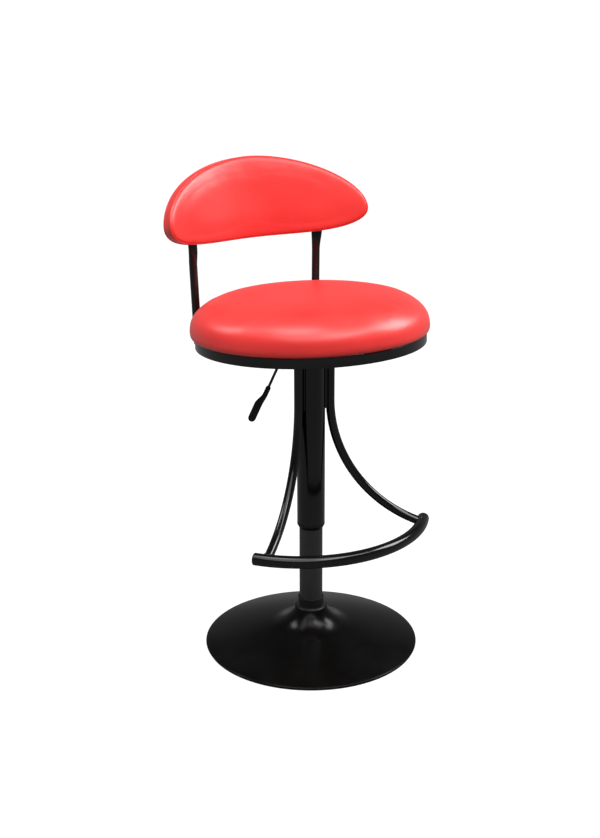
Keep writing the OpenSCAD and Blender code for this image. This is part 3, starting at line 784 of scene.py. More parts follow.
def fill_ring(piece: bpy.types.Object, ring: Sequence[Vector], even: bool) -> None:
    """Fills one open ring of a piece.

    Args:
        piece: The piece.
        ring: The ring's points.
        even: True for a grid of quads, False for one flat face.
    """
    tree = tree_of(ring)
    pick()
    select_where(piece, lambda v: tree.find(v.co)[2] < 5 * WELD_GAP)
    edit(piece)
    if even:
        bpy.ops.mesh.fill_grid(span=len(ring) // 4)
    else:
        bpy.ops.mesh.edge_face_add()
    bpy.ops.mesh.select_all(action="SELECT")
    bpy.ops.mesh.normals_make_consistent(inside=False)
    bpy.ops.object.mode_set(mode="OBJECT")


def apply_modifier(piece: bpy.types.Object, kind: str, **settings: object) -> None:
    """Adds a modifier and applies it.

    Args:
        piece: The piece.
        kind: Type of the modifier.
        **settings: Its settings.
    """
    pick(piece)
    made = piece.modifiers.new(kind.lower(), kind)
    for key, value in settings.items():
        setattr(made, key, value)
    bpy.ops.object.modifier_apply(modifier=made.name)


def swell(piece: bpy.types.Object, held: Callable[[Vector], bool], cap: float,
          voxel: float = 5 * MM, pressure: float = 4.0, frames: int = 20, neighbours: int = 24) -> None:
    """Puffs a padded piece up with a cloth simulation on a remeshed copy.

    The copy's movement is capped, evened out and carried over to the piece's own clean mesh.

    Args:
        piece: The piece, in its own frame.
        held: True where the cloth is sewn or stapled down.
        cap: Most that a point may move.
        voxel: Size of the copy's faces.
        pressure: Pressure inside the copy.
        frames: Number of frames to simulate.
        neighbours: Number of the copy's points whose movement each point takes over.
    """
    pick()
    copy = piece.copy()
    copy.data = piece.data.copy()
    bpy.context.collection.objects.link(copy)
    apply_modifier(copy, "REMESH", mode="VOXEL", voxel_size=voxel)
    before = [v.co.copy() for v in copy.data.vertices]
    group = copy.vertex_groups.new(name="held")
    group.add([i for i, point in enumerate(before) if held(point)], 1.0, "REPLACE")
    cloth = copy.modifiers.new("cloth", "CLOTH")
    cloth.settings.quality = 5
    cloth.settings.mass = 0.3
    cloth.settings.use_pressure = True
    cloth.settings.uniform_pressure_force = pressure
    cloth.settings.vertex_group_mass = "held"
    cloth.settings.effector_weights.gravity = 0.0
    cloth.point_cache.frame_start, cloth.point_cache.frame_end = 1, frames
    for frame in range(1, frames + 1):
        bpy.context.scene.frame_set(frame)
    posed = copy.evaluated_get(bpy.context.evaluated_depsgraph_get())
    moves = []
    for start, vertex in zip(before, posed.data.vertices):
        move = vertex.co - start
        moves.append(move * min(1.0, cap / max(move.length, 1e-9)))
    bpy.context.scene.frame_set(1)
    tree = tree_of(before)
    for vertex in piece.data.vertices:
        near = tree.find_n(vertex.co, neighbours)
        weights = [1.0 / (distance + voxel) for _, _, distance in near]
        move = sum((moves[i] * w for (_, i, _), w in zip(near, weights)), Vector())
        vertex.co += move / sum(weights)
    largest = max(move.length for move in moves)
    bpy.data.objects.remove(copy, do_unlink=True)
    LOG.info("%s swelled by up to %.1f mm", piece.name, largest / MM)


def smooth_faces(piece: bpy.types.Object, angle: float = 50.0) -> None:
    """Shades a piece smooth except at edges sharper than the angle."""
    pick(piece)
    bpy.ops.object.shade_smooth_by_angle(angle=math.radians(angle))


def rounded_off(piece: bpy.types.Object, angle: float, frame: Matrix = Matrix.Identity(4)) -> None:
    """Subdivides a piece once, puts it in its place and shades it smooth.

    Args:
        piece: The piece.
        angle: Edges sharper than this stay sharp.
        frame: Place of the finished piece.
    """
    apply_modifier(piece, "SUBSURF", levels=1, render_levels=1)
    piece.data.transform(frame)
    smooth_faces(piece, angle)


def dress(piece: bpy.types.Object, material: bpy.types.Material, body: Body, slot: Slot,
          *nodes: str) -> None:
    """Gives a finished piece its material and body, and hides the nodes that it stands for.

    Args:
        piece: The piece.
        material: Its finish.
        body: The body that it rides on.
        slot: Not used.
        *nodes: CAD nodes that it replaces.
    """
    piece.data.materials.clear()
    piece.data.materials.append(material)
    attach(piece, body.value)
    if nodes:
        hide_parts(*nodes)
    LOG.info("%s: %d faces", piece.name, len(piece.data.polygons))


def spaced(start: float, end: float, count: int) -> list[float]:
    """Evenly spaced numbers from start to end, both included."""
    return [start + (end - start) * i / (count - 1) for i in range(count)]


def eased(share: float) -> float:
    """A share from 0 to 1 with soft ends."""
    held = min(max(share, 0.0), 1.0)
    return held * held * (3 - 2 * held)


def arc_points(centre: Point2, radius: float, start: float, end: float, count: int) -> list[Point2]:
    """Points of an arc.

    Args:
        centre: The arc's centre.
        radius: Its radius.
        start: First angle in degrees.
        end: Last angle in degrees.
        count: Number of points.

    Returns:
        The points.
    """
    turns = (math.radians(a) for a in spaced(start, end, count))
    return [(centre[0] + radius * math.cos(a), centre[1] + radius * math.sin(a)) for a in turns]


def evenly(line: Sequence[Point2], count: int) -> list[Point2]:
    """Points at equal steps along a line.

    Args:
        line: The line's points.
        count: Number of points wanted.

    Returns:
        The new points.
    """
    lengths = [0.0]
    for a, b in zip(line, line[1:]):
        lengths.append(lengths[-1] + math.dist(a, b))
    points, span = [], 0
    for goal in spaced(0.0, lengths[-1], count):
        while span < len(line) - 2 and lengths[span + 1] < goal:
            span += 1
        share = (goal - lengths[span]) / max(lengths[span + 1] - lengths[span], 1e-12)
        points.append(tuple(a + (b - a) * min(share, 1.0) for a, b in zip(line[span], line[span + 1])))
    return points


def rounded_box(low: Point2, high: Point2, radius: float) -> list[Point2]:
    """Outline of a rectangle with rounded corners.

    Args:
        low: Lower corner.
        high: Upper corner.
        radius: Radius of the corners.

    Returns:
        The outline.
    """
    x, z = (low[0] + radius, high[0] - radius), (low[1] + radius, high[1] - radius)
    corners = ((x[0], z[0], 180), (x[1], z[0], 270), (x[1], z[1], 0), (x[0], z[1], 90))
    return [p for a, b, start in corners for p in arc_points((a, b), radius, start, start + 90, 5)]


def turned(angle: float, axis: str) -> Matrix:
    """Turn about an axis, in degrees."""
    return Matrix.Rotation(math.radians(angle), 4, axis)


def bowed_section(across: Vector, up: Vector, centre: Vector, half_w: float, half_h: float,
                  power: float, count: int) -> list[Vector]:
    """Ring of points between an ellipse and a rectangle.

    Args:
        across: Direction of the width.
        up: Direction of the height.
        centre: The ring's centre.
        half_w: Half of the width.
        half_h: Half of the height.
        power: 2 for an ellipse, more for a squarer shape.
        count: Number of points.

    Returns:
        The points.
    """
    ring = []
    for step in range(count):
        angle = 2 * math.pi * step / count
        c, s = math.cos(angle), math.sin(angle)
        ring.append(centre + across * (half_w * math.copysign(abs(c) ** (2 / power), c))
                    + up * (half_h * math.copysign(abs(s) ** (2 / power), s)))
    return ring


# ---- Sub-assemblies ----


@dataclass
class SpunBase:
    """Dished base with a rolled edge, and the collar round the column's foot."""

    radius: float = 198.5 * MM
    bead: float = 2.0 * MM
    ring_height: float = 2.0 * MM
    edge_slope: float = 18.0
    neck_join_slope: float = 10.0
    flare_radius: float = 78.0 * MM
    neck_radius: float = 30.0 * MM
    neck_slope: float = 62.0
    sheet: float = 2.0 * MM
    column_radius: float = 21.5 * MM
    collar_height: float = 22.0 * MM
    collar_wall: float = 2.5 * MM
    collar_edge: float = 1.2 * MM
    collar_fit: float = 0.05 * MM
    skirt_rise: float = 6.0 * MM

    def line(self, inset: float) -> list[Point2]:
        """Upper face of the base, from edge to neck.

        Args:
            inset: How far the line is moved into the sheet.

        Returns:
            Radius and height of each point.
        """
        slope, join, neck = (math.radians(a)
                             for a in (self.edge_slope, self.neck_join_slope, self.neck_slope))
        edge = self.radius - self.bead
        edge_z = self.ring_height + self.bead + self.bead * math.cos(slope)
        dome = (edge - self.flare_radius) / (math.sin(slope) - math.sin(join))
        centre = (edge - dome * math.sin(slope), edge_z - dome * math.cos(slope))
        flare_z = centre[1] + dome * math.cos(join)
        flare = (self.flare_radius - self.neck_radius) / (math.sin(neck) - math.sin(join))
        middle = (self.flare_radius + flare * math.sin(join), flare_z + flare * math.cos(join))
        dish = arc_points(centre, dome - inset, 90 - self.edge_slope, 90 - self.neck_join_slope, 26)
        rise = arc_points(middle, flare + inset, 270 - self.neck_join_slope, 270 - self.neck_slope, 30)
        return dish + rise[1:]

    def build(self, paint: bpy.types.Material, plastic: bpy.types.Material) -> None:
        """Makes the dish and the collar.

        Args:
            paint: Finish of the dish.
            plastic: Finish of the collar.
        """
        outer, inner = self.line(0.0), self.line(self.sheet)
        edge = (self.radius - self.bead, self.ring_height + self.bead)
        bead = arc_points(edge, self.bead, -150, 66, 18)
        lip = (outer[-1][0] - 0.4 * MM, (outer[-1][1] + inner[-1][1]) / 2 + 0.3 * MM)
        dish = spun("base_dish", bead + outer[1:] + [lip] + inner[:0:-1], 192)
        dress(dish, paint, Body.BASE, Slot.GLOSS_BLACK, "base_shell")
        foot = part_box("column_collar")[0][2]
        collar, bore = self.column_radius + self.collar_wall, self.column_radius + self.collar_fit
        skirt = [(collar + (self.neck_radius - 0.5 * MM - collar) * (1 - math.sin(math.radians(a))),
                  foot + 1 * MM + self.skirt_rise * (1 - math.cos(math.radians(a))))
                 for a in spaced(0, 90, 14)]
        top, edge = foot + self.collar_height, self.collar_edge
        profile = ([(bore, foot + 0.1 * MM), (self.neck_radius - 0.7 * MM, foot + 0.1 * MM)] + skirt
                   + arc_points((collar - edge, top - edge), edge, 0, 90, 7) + [(bore, top)])
        dress(spun("foot_collar", profile, 96), plastic, Body.BASE, Slot.BLACK_PLASTIC, "column_collar")


@dataclass
class Footrest:
    """Domed end plugs of the footrest, its weld beads and the sleeve's lip."""

    bar_radius: float = 11.0 * MM
    bar_height: float = 247.8 * MM
    bend_radius: float = 227.5 * MM
    centre_y: float = 36.0 * MM
    half_angle: float = 51.0
    strut_angle: float = 45.4
    strut_radius: float = 8.0 * MM
    strut_sweep: float = 74.0
    strut_rise: float = 2.5 * MM
    strut_top_x: float = 33.0 * MM
    strut_top_y: float = 12.0 * MM
    sleeve_radius: float = 25.5 * MM
    sleeve_bottom: float = 243.5 * MM
    lip: float = 11.5 * MM
    bush_bore: float = 21.55 * MM
    bush_length: float = 35.0 * MM
    bush_edge: float = 0.6 * MM
    plug_dome: float = 3.0 * MM
    bead_sides: int = 10
    loop_steps: int = 44

    def end_plugs(self, plastic: bpy.types.Material) -> None:
        """Makes one domed plug for each end of the bar.

        Args:
            plastic: Finish of the plugs.
        """
        rise = [(self.bar_radius * math.cos(a) ** 0.55, 0.4 * MM + self.plug_dome * math.sin(a))
                for a in map(math.radians, spaced(0, 86, 12))]
        line = [(self.bar_radius - 2.4 * MM, -12 * MM), (self.bar_radius - 2.4 * MM, -0.2 * MM),
                (self.bar_radius - 0.2 * MM, 0.0)] + rise
        for side, name in ((1, "bar_plug_left"), (-1, "bar_plug_right")):
            frame = (Matrix.Scale(side, 4, (1, 0, 0))
                     @ Matrix.Translation((0, self.centre_y, self.bar_height))
                     @ turned(-90 + self.half_angle, "Z") @ Matrix.Translation((self.bend_radius, 0, 0))
                     @ turned(-90, "X"))
            rows = [bowed_section(Vector((1, 0, 0)), Vector((0, 1, 0)), Vector((0, 0, z)), r, r, 2, 48)
                    for r, z in line]
            plug = skinned(name, [[frame @ p for p in row] for row in rows])
            close_ends(plug)
            smooth_faces(plug)
            nodes = ("footrest_caps",) if side > 0 else ()
            dress(plug, plastic, Body.UPPER, Slot.BLACK_PLASTIC, *nodes)

    def bead(self, name: str, path: Sequence[Vector], radius: float, closed: bool) -> bpy.types.Object:
        """A rippled weld bead along a path.

        Args:
            name: The piece's name.
            path: Points of the path.
            radius: Radius of the bead.
            closed: True if the path closes on itself.

        Returns:
            The bead.
        """
        rows = []
        count, sides = len(path), range(self.bead_sides)
        for i, point in enumerate(path):
            after = path[(i + 1) % count] if closed or i < count - 1 else point
            before = path[i - 1] if closed or i else point
            along = (after - before).normalized()
            side = along.orthogonal().normalized()
            up = along.cross(side)
            fade = 1.0 if closed else min(1.0, 0.35 + min(i, count - 1 - i) * 0.35)
            girth = radius * fade * (1.0 + 0.13 * math.cos(i * math.pi))
            ring = [point + side * girth * math.cos(a) + up * girth * math.sin(a)
                    for a in (2 * math.pi * k / self.bead_sides for k in sides)]
            if rows:
                start = min(sides, key=lambda k: (ring[k] - rows[-1][0]).length)
                ring = ring[start:] + ring[:start]
            rows.append(ring)
        weld = skinned(name, rows)
        close_ends(weld)
        return weld

    def strut_foot_loop(self, side: int) -> list[Vector]:
        """Curve in which a strut's tube enters the bar.

        Args:
            side: 1 for the sitter's left, -1 for the right.

        Returns:
            Points of the curve.
        """
        angle = math.radians(self.strut_angle)
        foot = Vector((self.bend_radius * math.sin(angle), self.centre_y - self.bend_radius * math.cos(angle),
                       self.bar_height))
        bar = Vector((math.cos(angle), math.sin(angle), 0))
        run = Vector((foot.x - self.strut_top_x, foot.y + self.strut_top_y, 0)).normalized()
        sweep = math.radians(self.strut_sweep)
        tip = run * math.sin(sweep) - Vector((0, 0, math.cos(sweep)))
        end = foot + Vector((0, 0, self.strut_rise))
        across = run.cross(Vector((0, 0, 1))).normalized()
        rise = across.cross(tip).normalized()
        loop = []
        for step in range(self.loop_steps):
            a = 2 * math.pi * step / self.loop_steps
            origin = (end + across * (self.strut_radius * math.cos(a))
                      + rise * (self.strut_radius * math.sin(a)))
            offset = origin - foot
            flat = offset - bar * offset.dot(bar)
            lead = tip - bar * tip.dot(bar)
            b, c = flat.dot(lead), flat.dot(flat) - self.bar_radius ** 2
            root = max(b * b - lead.dot(lead) * c, 0.0)
            loop.append(origin + tip * ((-b - math.sqrt(root)) / lead.dot(lead)))
        return mirrored(loop, side)

    def welds(self, paint: bpy.types.Material) -> None:
        """Makes the weld beads at the struts' feet and along the webs.

        Args:
            paint: Finish of the beads.
        """
        low, top = (corner[2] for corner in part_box("web_left"))
        heading = Vector((self.strut_top_x, -self.strut_top_y, 0)).normalized()
        beside = Vector((-heading.y, heading.x, 0))
        for side, name in ((1, "left"), (-1, "right")):
            beads = [self.bead(f"foot_weld_{name}", self.strut_foot_loop(side), 1.5 * MM, True)]
            for edge in (5.4 * MM, -5.4 * MM):
                reach = math.sqrt(self.sleeve_radius ** 2 - edge ** 2)
                line = [heading * reach + beside * edge + Vector((0, 0, z))
                        for z in spaced(low + 1 * MM, top - 2 * MM, 52)]
                beads.append(self.bead(f"web_weld_{name}", mirrored(line, side), 1.3 * MM, False))
            welds = joined(beads, f"weld_beads_{name}")
            rounded_off(welds, 80)
            dress(welds, paint, Body.UPPER, Slot.GLOSS_BLACK)

    def sleeve_lip(self, plastic: bpy.types.Material) -> None:
        """Makes the tapered bush that shows below the sleeve.

        Args:
            plastic: Finish of the bush.
        """
        bottom, inner, outer = self.sleeve_bottom, self.bush_bore, self.sleeve_radius
        edge, low, high = self.bush_edge, bottom - self.lip + self.bush_edge, bottom + self.bush_length
        profile = ([(inner, high), (inner, low)]
                   + arc_points((inner + edge, low), edge, 180, 300, 5)
                   + arc_points((outer - 3.0 * MM, bottom - 5.0 * MM), 3.0 * MM, -42, 0, 9)
                   + [(outer, bottom - 0.5 * MM), (outer - 0.3 * MM, bottom - 0.05 * MM),
                      (outer - 1.5 * MM, bottom), (outer - 1.5 * MM, high)])
        lip = spun("sleeve_lip", profile, 96)
        dress(lip, plastic, Body.UPPER, Slot.BLACK_PLASTIC, "sleeve_bush")


@dataclass
class RoundSeat:
    """Domed vinyl cushion with its stapled hem, and the steel ring under it."""

    ring_z: float = 583.3 * MM
    tilt: float = 3.7
    ring_radius: float = 204.5 * MM
    ring_height: float = 18.0 * MM
    ring_wall: float = 3.0 * MM
    cushion_radius: float = 211.5 * MM
    bulge_height: float = 14.3 * MM
    crown_height: float = 60.6 * MM
    shoulder_out: float = 3.7
    shoulder_up: float = 2.3
    cushion_back: float = 2.3 * MM
    vinyl: float = 1.2 * MM
    board: float = 12.0 * MM
    fill: float = 0.75
    swelling: float = 2.4 * MM
    rim_pull: float = 2.2 * MM
    board_gap: float = 6.5 * MM
    hem: float = 28.0 * MM
    folds: tuple[int, int] = (61, 97)
    fold_depth: float = 0.16 * MM
    staples: int = 40
    staple: tuple[float, float, float] = (0.9 * MM, 9.5 * MM, 0.5 * MM)
    staple_inset: float = 22.0 * MM
    columns: int = 128

    def seat_frame(self) -> Matrix:
        """Frame of the tilted seat, with its zero at the ring's lower edge."""
        return Matrix.Translation((0, 0, self.ring_z)) @ turned(-self.tilt, "X")

    def cushion_frame(self) -> Matrix:
        """Frame of the cushion, a little behind the ring's."""
        return self.seat_frame() @ Matrix.Translation((0, self.cushion_back, 0))

    def widest(self, shrink: float) -> float:
        """Radius at the rim; a cushion that will swell starts wider, as its rim is drawn in."""
        return self.cushion_radius + (self.rim_pull if shrink else 0.0)

    def crown(self, radius: float, shrink: float) -> float:
        """Height of the upper face.

        Args:
            radius: Distance from the cushion's axis.
            shrink: How much lower than its final height it starts.

        Returns:
            The height.
        """
        share = min(radius / self.widest(shrink), 1.0)
        lift = (1.0 - share ** self.shoulder_out) ** (1.0 / self.shoulder_up)
        return self.ring_height + self.bulge_height + (self.crown_height - shrink) * lift

    def outline(self, shrink: float) -> list[Point2]:
        """Section of the cushion from near its centre, over the edge, into the board's recess.

        Args:
            shrink: How much lower than its final height it starts.

        Returns:
            Radius and height of each row.
        """
        widest, tuck = self.widest(shrink), self.ring_radius + 0.8 * MM
        rim, rise = self.ring_height + self.bulge_height, self.crown_height - shrink
        top = [(widest * math.cos(a) ** (2 / self.shoulder_out),
                rim + rise * math.sin(a) ** (2 / self.shoulder_up))
               for a in map(math.radians, spaced(89.2, 0.0, 240))]
        under = [(tuck + (widest - tuck) * math.cos(a) ** 0.9,
                  self.ring_height + self.bulge_height * (1 - math.sin(a)))
                 for a in map(math.radians, spaced(0.0, 90.0, 60))]
        board, low = self.ring_radius - self.board_gap, self.ring_height + self.vinyl
        hem, high = board - self.hem, low + self.board
        half, face = hem + self.hem / 2, self.ring_height + 0.02 * MM
        recess = [(tuck - 3 * MM, face), (half, face), (hem + 1 * MM, face),
                  (hem, self.ring_height + 0.5 * MM), (hem + 0.3 * MM, low), (half, low),
                  (board - 1 * MM, low), (board, low + 1 * MM), (board, high - 1 * MM),
                  (board - 1 * MM, high), (board * 0.6, high), (board * 0.12, high)]
        return evenly(top, 34) + evenly(under, 12)[1:] + recess

    def build_cushion(self, vinyl: bpy.types.Material) -> None:
        """Makes the cushion.

        Args:
            vinyl: Its finish.
        """
        shrink = self.swelling
        line = self.outline(shrink)
        rows = [[Vector((r * math.cos(a), r * math.sin(a), z))
                 for a in (2 * math.pi * k / self.columns for k in range(self.columns))] for r, z in line]
        cushion = skinned("seat_cushion", rows)
        fill_ring(cushion, rows[0], True)
        fill_ring(cushion, rows[-1], False)
        inner = line[0][0] - 0.1 * MM
        for vertex in cushion.data.vertices:
            radius = math.hypot(vertex.co.x, vertex.co.y)
            if radius < inner and vertex.co.z > self.ring_height + self.bulge_height:
                vertex.co.z = self.crown(radius, shrink)
        floor = self.ring_height + 2.5 * MM
        recess_top = self.ring_height + self.vinyl + self.board + 1 * MM
        recess = self.ring_radius - 5.5 * MM
        swell(cushion, lambda p: p.z < floor or (p.z < recess_top and math.hypot(p.x, p.y) < recess),
              self.swelling)
        for vertex in cushion.data.vertices:
            radius = math.hypot(vertex.co.x, vertex.co.y)
            height = (vertex.co.z - self.ring_height) / self.bulge_height
            if radius > recess + 1.2 * MM and height < 1.0:
                angle = math.atan2(vertex.co.y, vertex.co.x)
                wide, fine = (count * angle for count in self.folds)
                fold = math.sin(wide + 1.7 * math.sin(5 * angle)) + 0.6 * math.sin(fine)
                pull = self.fold_depth * fold * math.sin(math.pi * min(max(height, 0.0), 1.0)) ** 1.5
                vertex.co.x += pull * math.cos(angle)
                vertex.co.y += pull * math.sin(angle)
        rounded_off(cushion, 70, self.cushion_frame())
        dress(cushion, vinyl, Body.UPPER, Slot.RED_VINYL, "seat_cover", "seat_foam")

    def build_ring(self, paint: bpy.types.Material) -> None:
        """Makes the rolled steel ring under the cushion.

        Args:
            paint: Its finish.
        """
        profile = rounded_box((self.ring_radius - self.ring_wall, 0.0), (self.ring_radius, self.ring_height),
                              1.2 * MM)
        ring = spun("seat_band", profile, 192, self.seat_frame())
        dress(ring, paint, Body.UPPER, Slot.GLOSS_BLACK, "seat_ring")

    def build_staples(self, steel: bpy.types.Material) -> None:
        """Makes the staples that hold the cushion's hem to the board.

        Args:
            steel: Their finish.
        """
        radius = self.ring_radius - self.board_gap - self.staple_inset
        pick()
        bpy.ops.mesh.primitive_cube_add(size=1)
        first = bpy.context.object
        first.data.transform(Matrix.Diagonal((*self.staple, 1)))
        apply_modifier(first, "BEVEL", width=0.22 * MM, segments=2)
        made = [first]
        for _ in range(1, self.staples):
            twin = first.copy()
            twin.data = first.data.copy()
            bpy.context.collection.objects.link(twin)
            made.append(twin)
        for index, staple in enumerate(made):
            slant = 14 * math.sin(index * 2.4)
            staple.data.transform(self.cushion_frame() @ turned(360 / self.staples * (index + 0.5), "Z")
                                  @ Matrix.Translation((radius, 0, self.ring_height - 0.22 * MM))
                                  @ turned(slant, "Z"))
        staples = joined(made, "hem_staples")
        smooth_faces(staples)
        dress(staples, steel, Body.UPPER, Slot.STEEL)

    def build(self, vinyl: bpy.types.Material, paint: bpy.types.Material, steel: bpy.types.Material) -> None:
        """Makes the whole seat.

        Args:
            vinyl: Finish of the cushion.
            paint: Finish of the ring.
            steel: Finish of the staples.
        """
        self.build_cushion(vinyl)
        self.build_ring(paint)
        self.build_staples(steel)


@dataclass
class BackPad:
    """Curved back pad: a front panel, a side band and a back panel, joined by welts."""

    place: tuple[float, float, float] = (0.0, 189.6 * MM, 740.5 * MM)
    lean: float = 11.4
    front_radius: float = 321.5 * MM
    half_width: float = 204.0 * MM
    height: float = 146.7 * MM
    corner_height: float = 44.7 * MM
    droop: float = 13.0 * MM
    top_power: float = 1.87
    low_power: float = 3.8
    thickness: float = 30.0 * MM
    middle: float = 62.0 * MM
    roll: float = 32.0 * MM
    front_drop: float = 8.5 * MM
    back_roll: float = 9.0 * MM
    back_drop: float = 3.5 * MM
    welt: float = 1.25 * MM
    fill: float = 0.7
    swelling: float = 2.6 * MM
    sunk_share: float = 0.8
    half_columns: int = 64
    panel_rings: int = 26

    def frame(self) -> Matrix:
        """Frame at the middle of the pad's lower front edge."""
        return Matrix.Translation(self.place) @ turned(-self.lean, "X")

    def edge(self, x: float, upper: bool) -> float:
        """Height of the outline at x.

        Args:
            x: Sideways distance.
            upper: True for the upper edge.

        Returns:
            The height.
        """
        share = min(abs(x) / self.half_width, 1.0)
        base = self.corner_height - self.droop * share ** 2
        if upper:
            return base + (self.height - self.corner_height) * math.sqrt(max(1 - share ** self.top_power, 0))
        return base - self.corner_height * math.sqrt(max(1 - share ** self.low_power, 0))

    def outline(self) -> list[Point2]:
        """Goes round the pad's edge.

        Returns:
            Sideways distance and height of each point.
        """
        n = self.half_columns
        lower = [self.half_width * math.sin(math.radians(-90 + 180 * i / n)) for i in range(n + 1)]
        upper = [self.half_width * math.sin(math.radians(90 - 180 * i / n)) for i in range(1, n)]
        dense = [(x, self.edge(x, False)) for x in lower] + [(x, self.edge(x, True)) for x in upper]
        return evenly(dense + dense[:1], 2 * n + 1)[:-1]

    def surface(self, x: float, outward: bool) -> float:
        """Depth of the front or back face at x."""
        radius = self.front_radius + (self.thickness if outward else 0.0)
        return -self.front_radius + math.sqrt(radius ** 2 - x ** 2)

    def point(self, rim: Point2, share: float, outward: bool, sunk: float) -> Vector:
        """A point of the front or back panel.

        Args:
            rim: Point of the outline.
            share: 0 at the pad's middle, 1 at the outline.
            outward: True for the back panel.
            sunk: How far the panel lies under its final place.

        Returns:
            The point, in the pad's frame.
        """
        x = rim[0] * share
        z = self.middle + (rim[1] - self.middle) * share
        inside = (1 - share) * math.hypot(rim[0], rim[1] - self.middle)
        roll, drop = (self.back_roll, self.back_drop) if outward else (self.roll, self.front_drop)
        gap = max(1 - inside / roll, 0.0)
        depth = drop * (1 - math.sqrt(max(1 - gap ** 2.2, 0.0))) + sunk * (1 - gap)
        return Vector((x, self.surface(x, outward) + (-depth if outward else depth), z))

    def rows(self, sunk: float) -> list[list[Vector]]:
        """Rings of points from the middle of the front to the middle of the back.

        Args:
            sunk: How far the front panel lies under its final place.

        Returns:
            The rings.
        """
        rim = self.outline()
        steps = [0.5 * s + 0.5 * math.sin(s * math.pi / 2) for s in spaced(0.14, 1.0, self.panel_rings)]
        front = [[self.point(p, s, False, sunk) for p in rim] for s in steps]
        back = [[self.point(p, s, True, 0.0) for p in rim] for s in reversed(steps)]
        band = []
        for share in spaced(0.0, 1.0, 8)[1:-1]:
            swell_out = 1 + 0.004 * math.sin(math.pi * share)
            ring = []
            for a, b in zip(front[-1], back[0]):
                point = a.lerp(b, share)
                point.x *= swell_out
                point.z = self.middle + (point.z - self.middle) * swell_out
                ring.append(point)
            band.append(ring)
        return front + band + back

    def bead(self, name: str, ring: Sequence[Vector]) -> bpy.types.Object:
        """A welt sewn along a ring of points.

        Args:
            name: The piece's name.
            ring: The seam's points.

        Returns:
            The welt.
        """
        rows = []
        count = len(ring)
        for i, point in enumerate(ring):
            along = (ring[(i + 1) % count] - ring[i - 1]).normalized()
            out = (point - Vector((0, point.y, self.middle))).normalized()
            out = (out - along * out.dot(along)).normalized()
            centre = point - out * 0.35 * MM
            rows.append(bowed_section(out, along.cross(out), centre, self.welt, self.welt, 2, 12))
        return skinned(name, rows, looped=True)

    def build(self, vinyl: bpy.types.Material) -> None:
        """Makes the pad and its welts.

        Args:
            vinyl: Their finish.
        """
        sunk = self.swelling * self.sunk_share
        rows = self.rows(sunk)
        front, back = rows[self.panel_rings - 1], rows[-self.panel_rings]
        pad = skinned("back_pad", rows)
        fill_ring(pad, rows[0], True)
        fill_ring(pad, rows[-1], True)
        for vertex in pad.data.vertices:
            aside, aloft = abs(vertex.co.x), abs(vertex.co.z - self.middle)
            if aside < 0.13 * self.half_width and aloft < 0.1 * self.height:
                outward = vertex.co.y > 0.5 * self.thickness
                vertex.co.y = self.surface(vertex.co.x, outward) + (0.0 if outward else sunk)
        seams = tree_of(front + back)
        swell(pad, lambda p: seams.find(p)[2] < 5 * MM or p.y > self.surface(p.x, True) - 7 * MM,
              self.swelling, 4.5 * MM)
        rounded_off(pad, 70, self.frame())
        dress(pad, vinyl, Body.UPPER, Slot.RED_VINYL, "back_cover", "back_foam")
        for name, ring in (("back_welt_front", front), ("back_welt_rear", back)):
            welt = self.bead(name, ring)
            rounded_off(welt, 80, self.frame())
            dress(welt, vinyl, Body.UPPER, Slot.RED_VINYL)


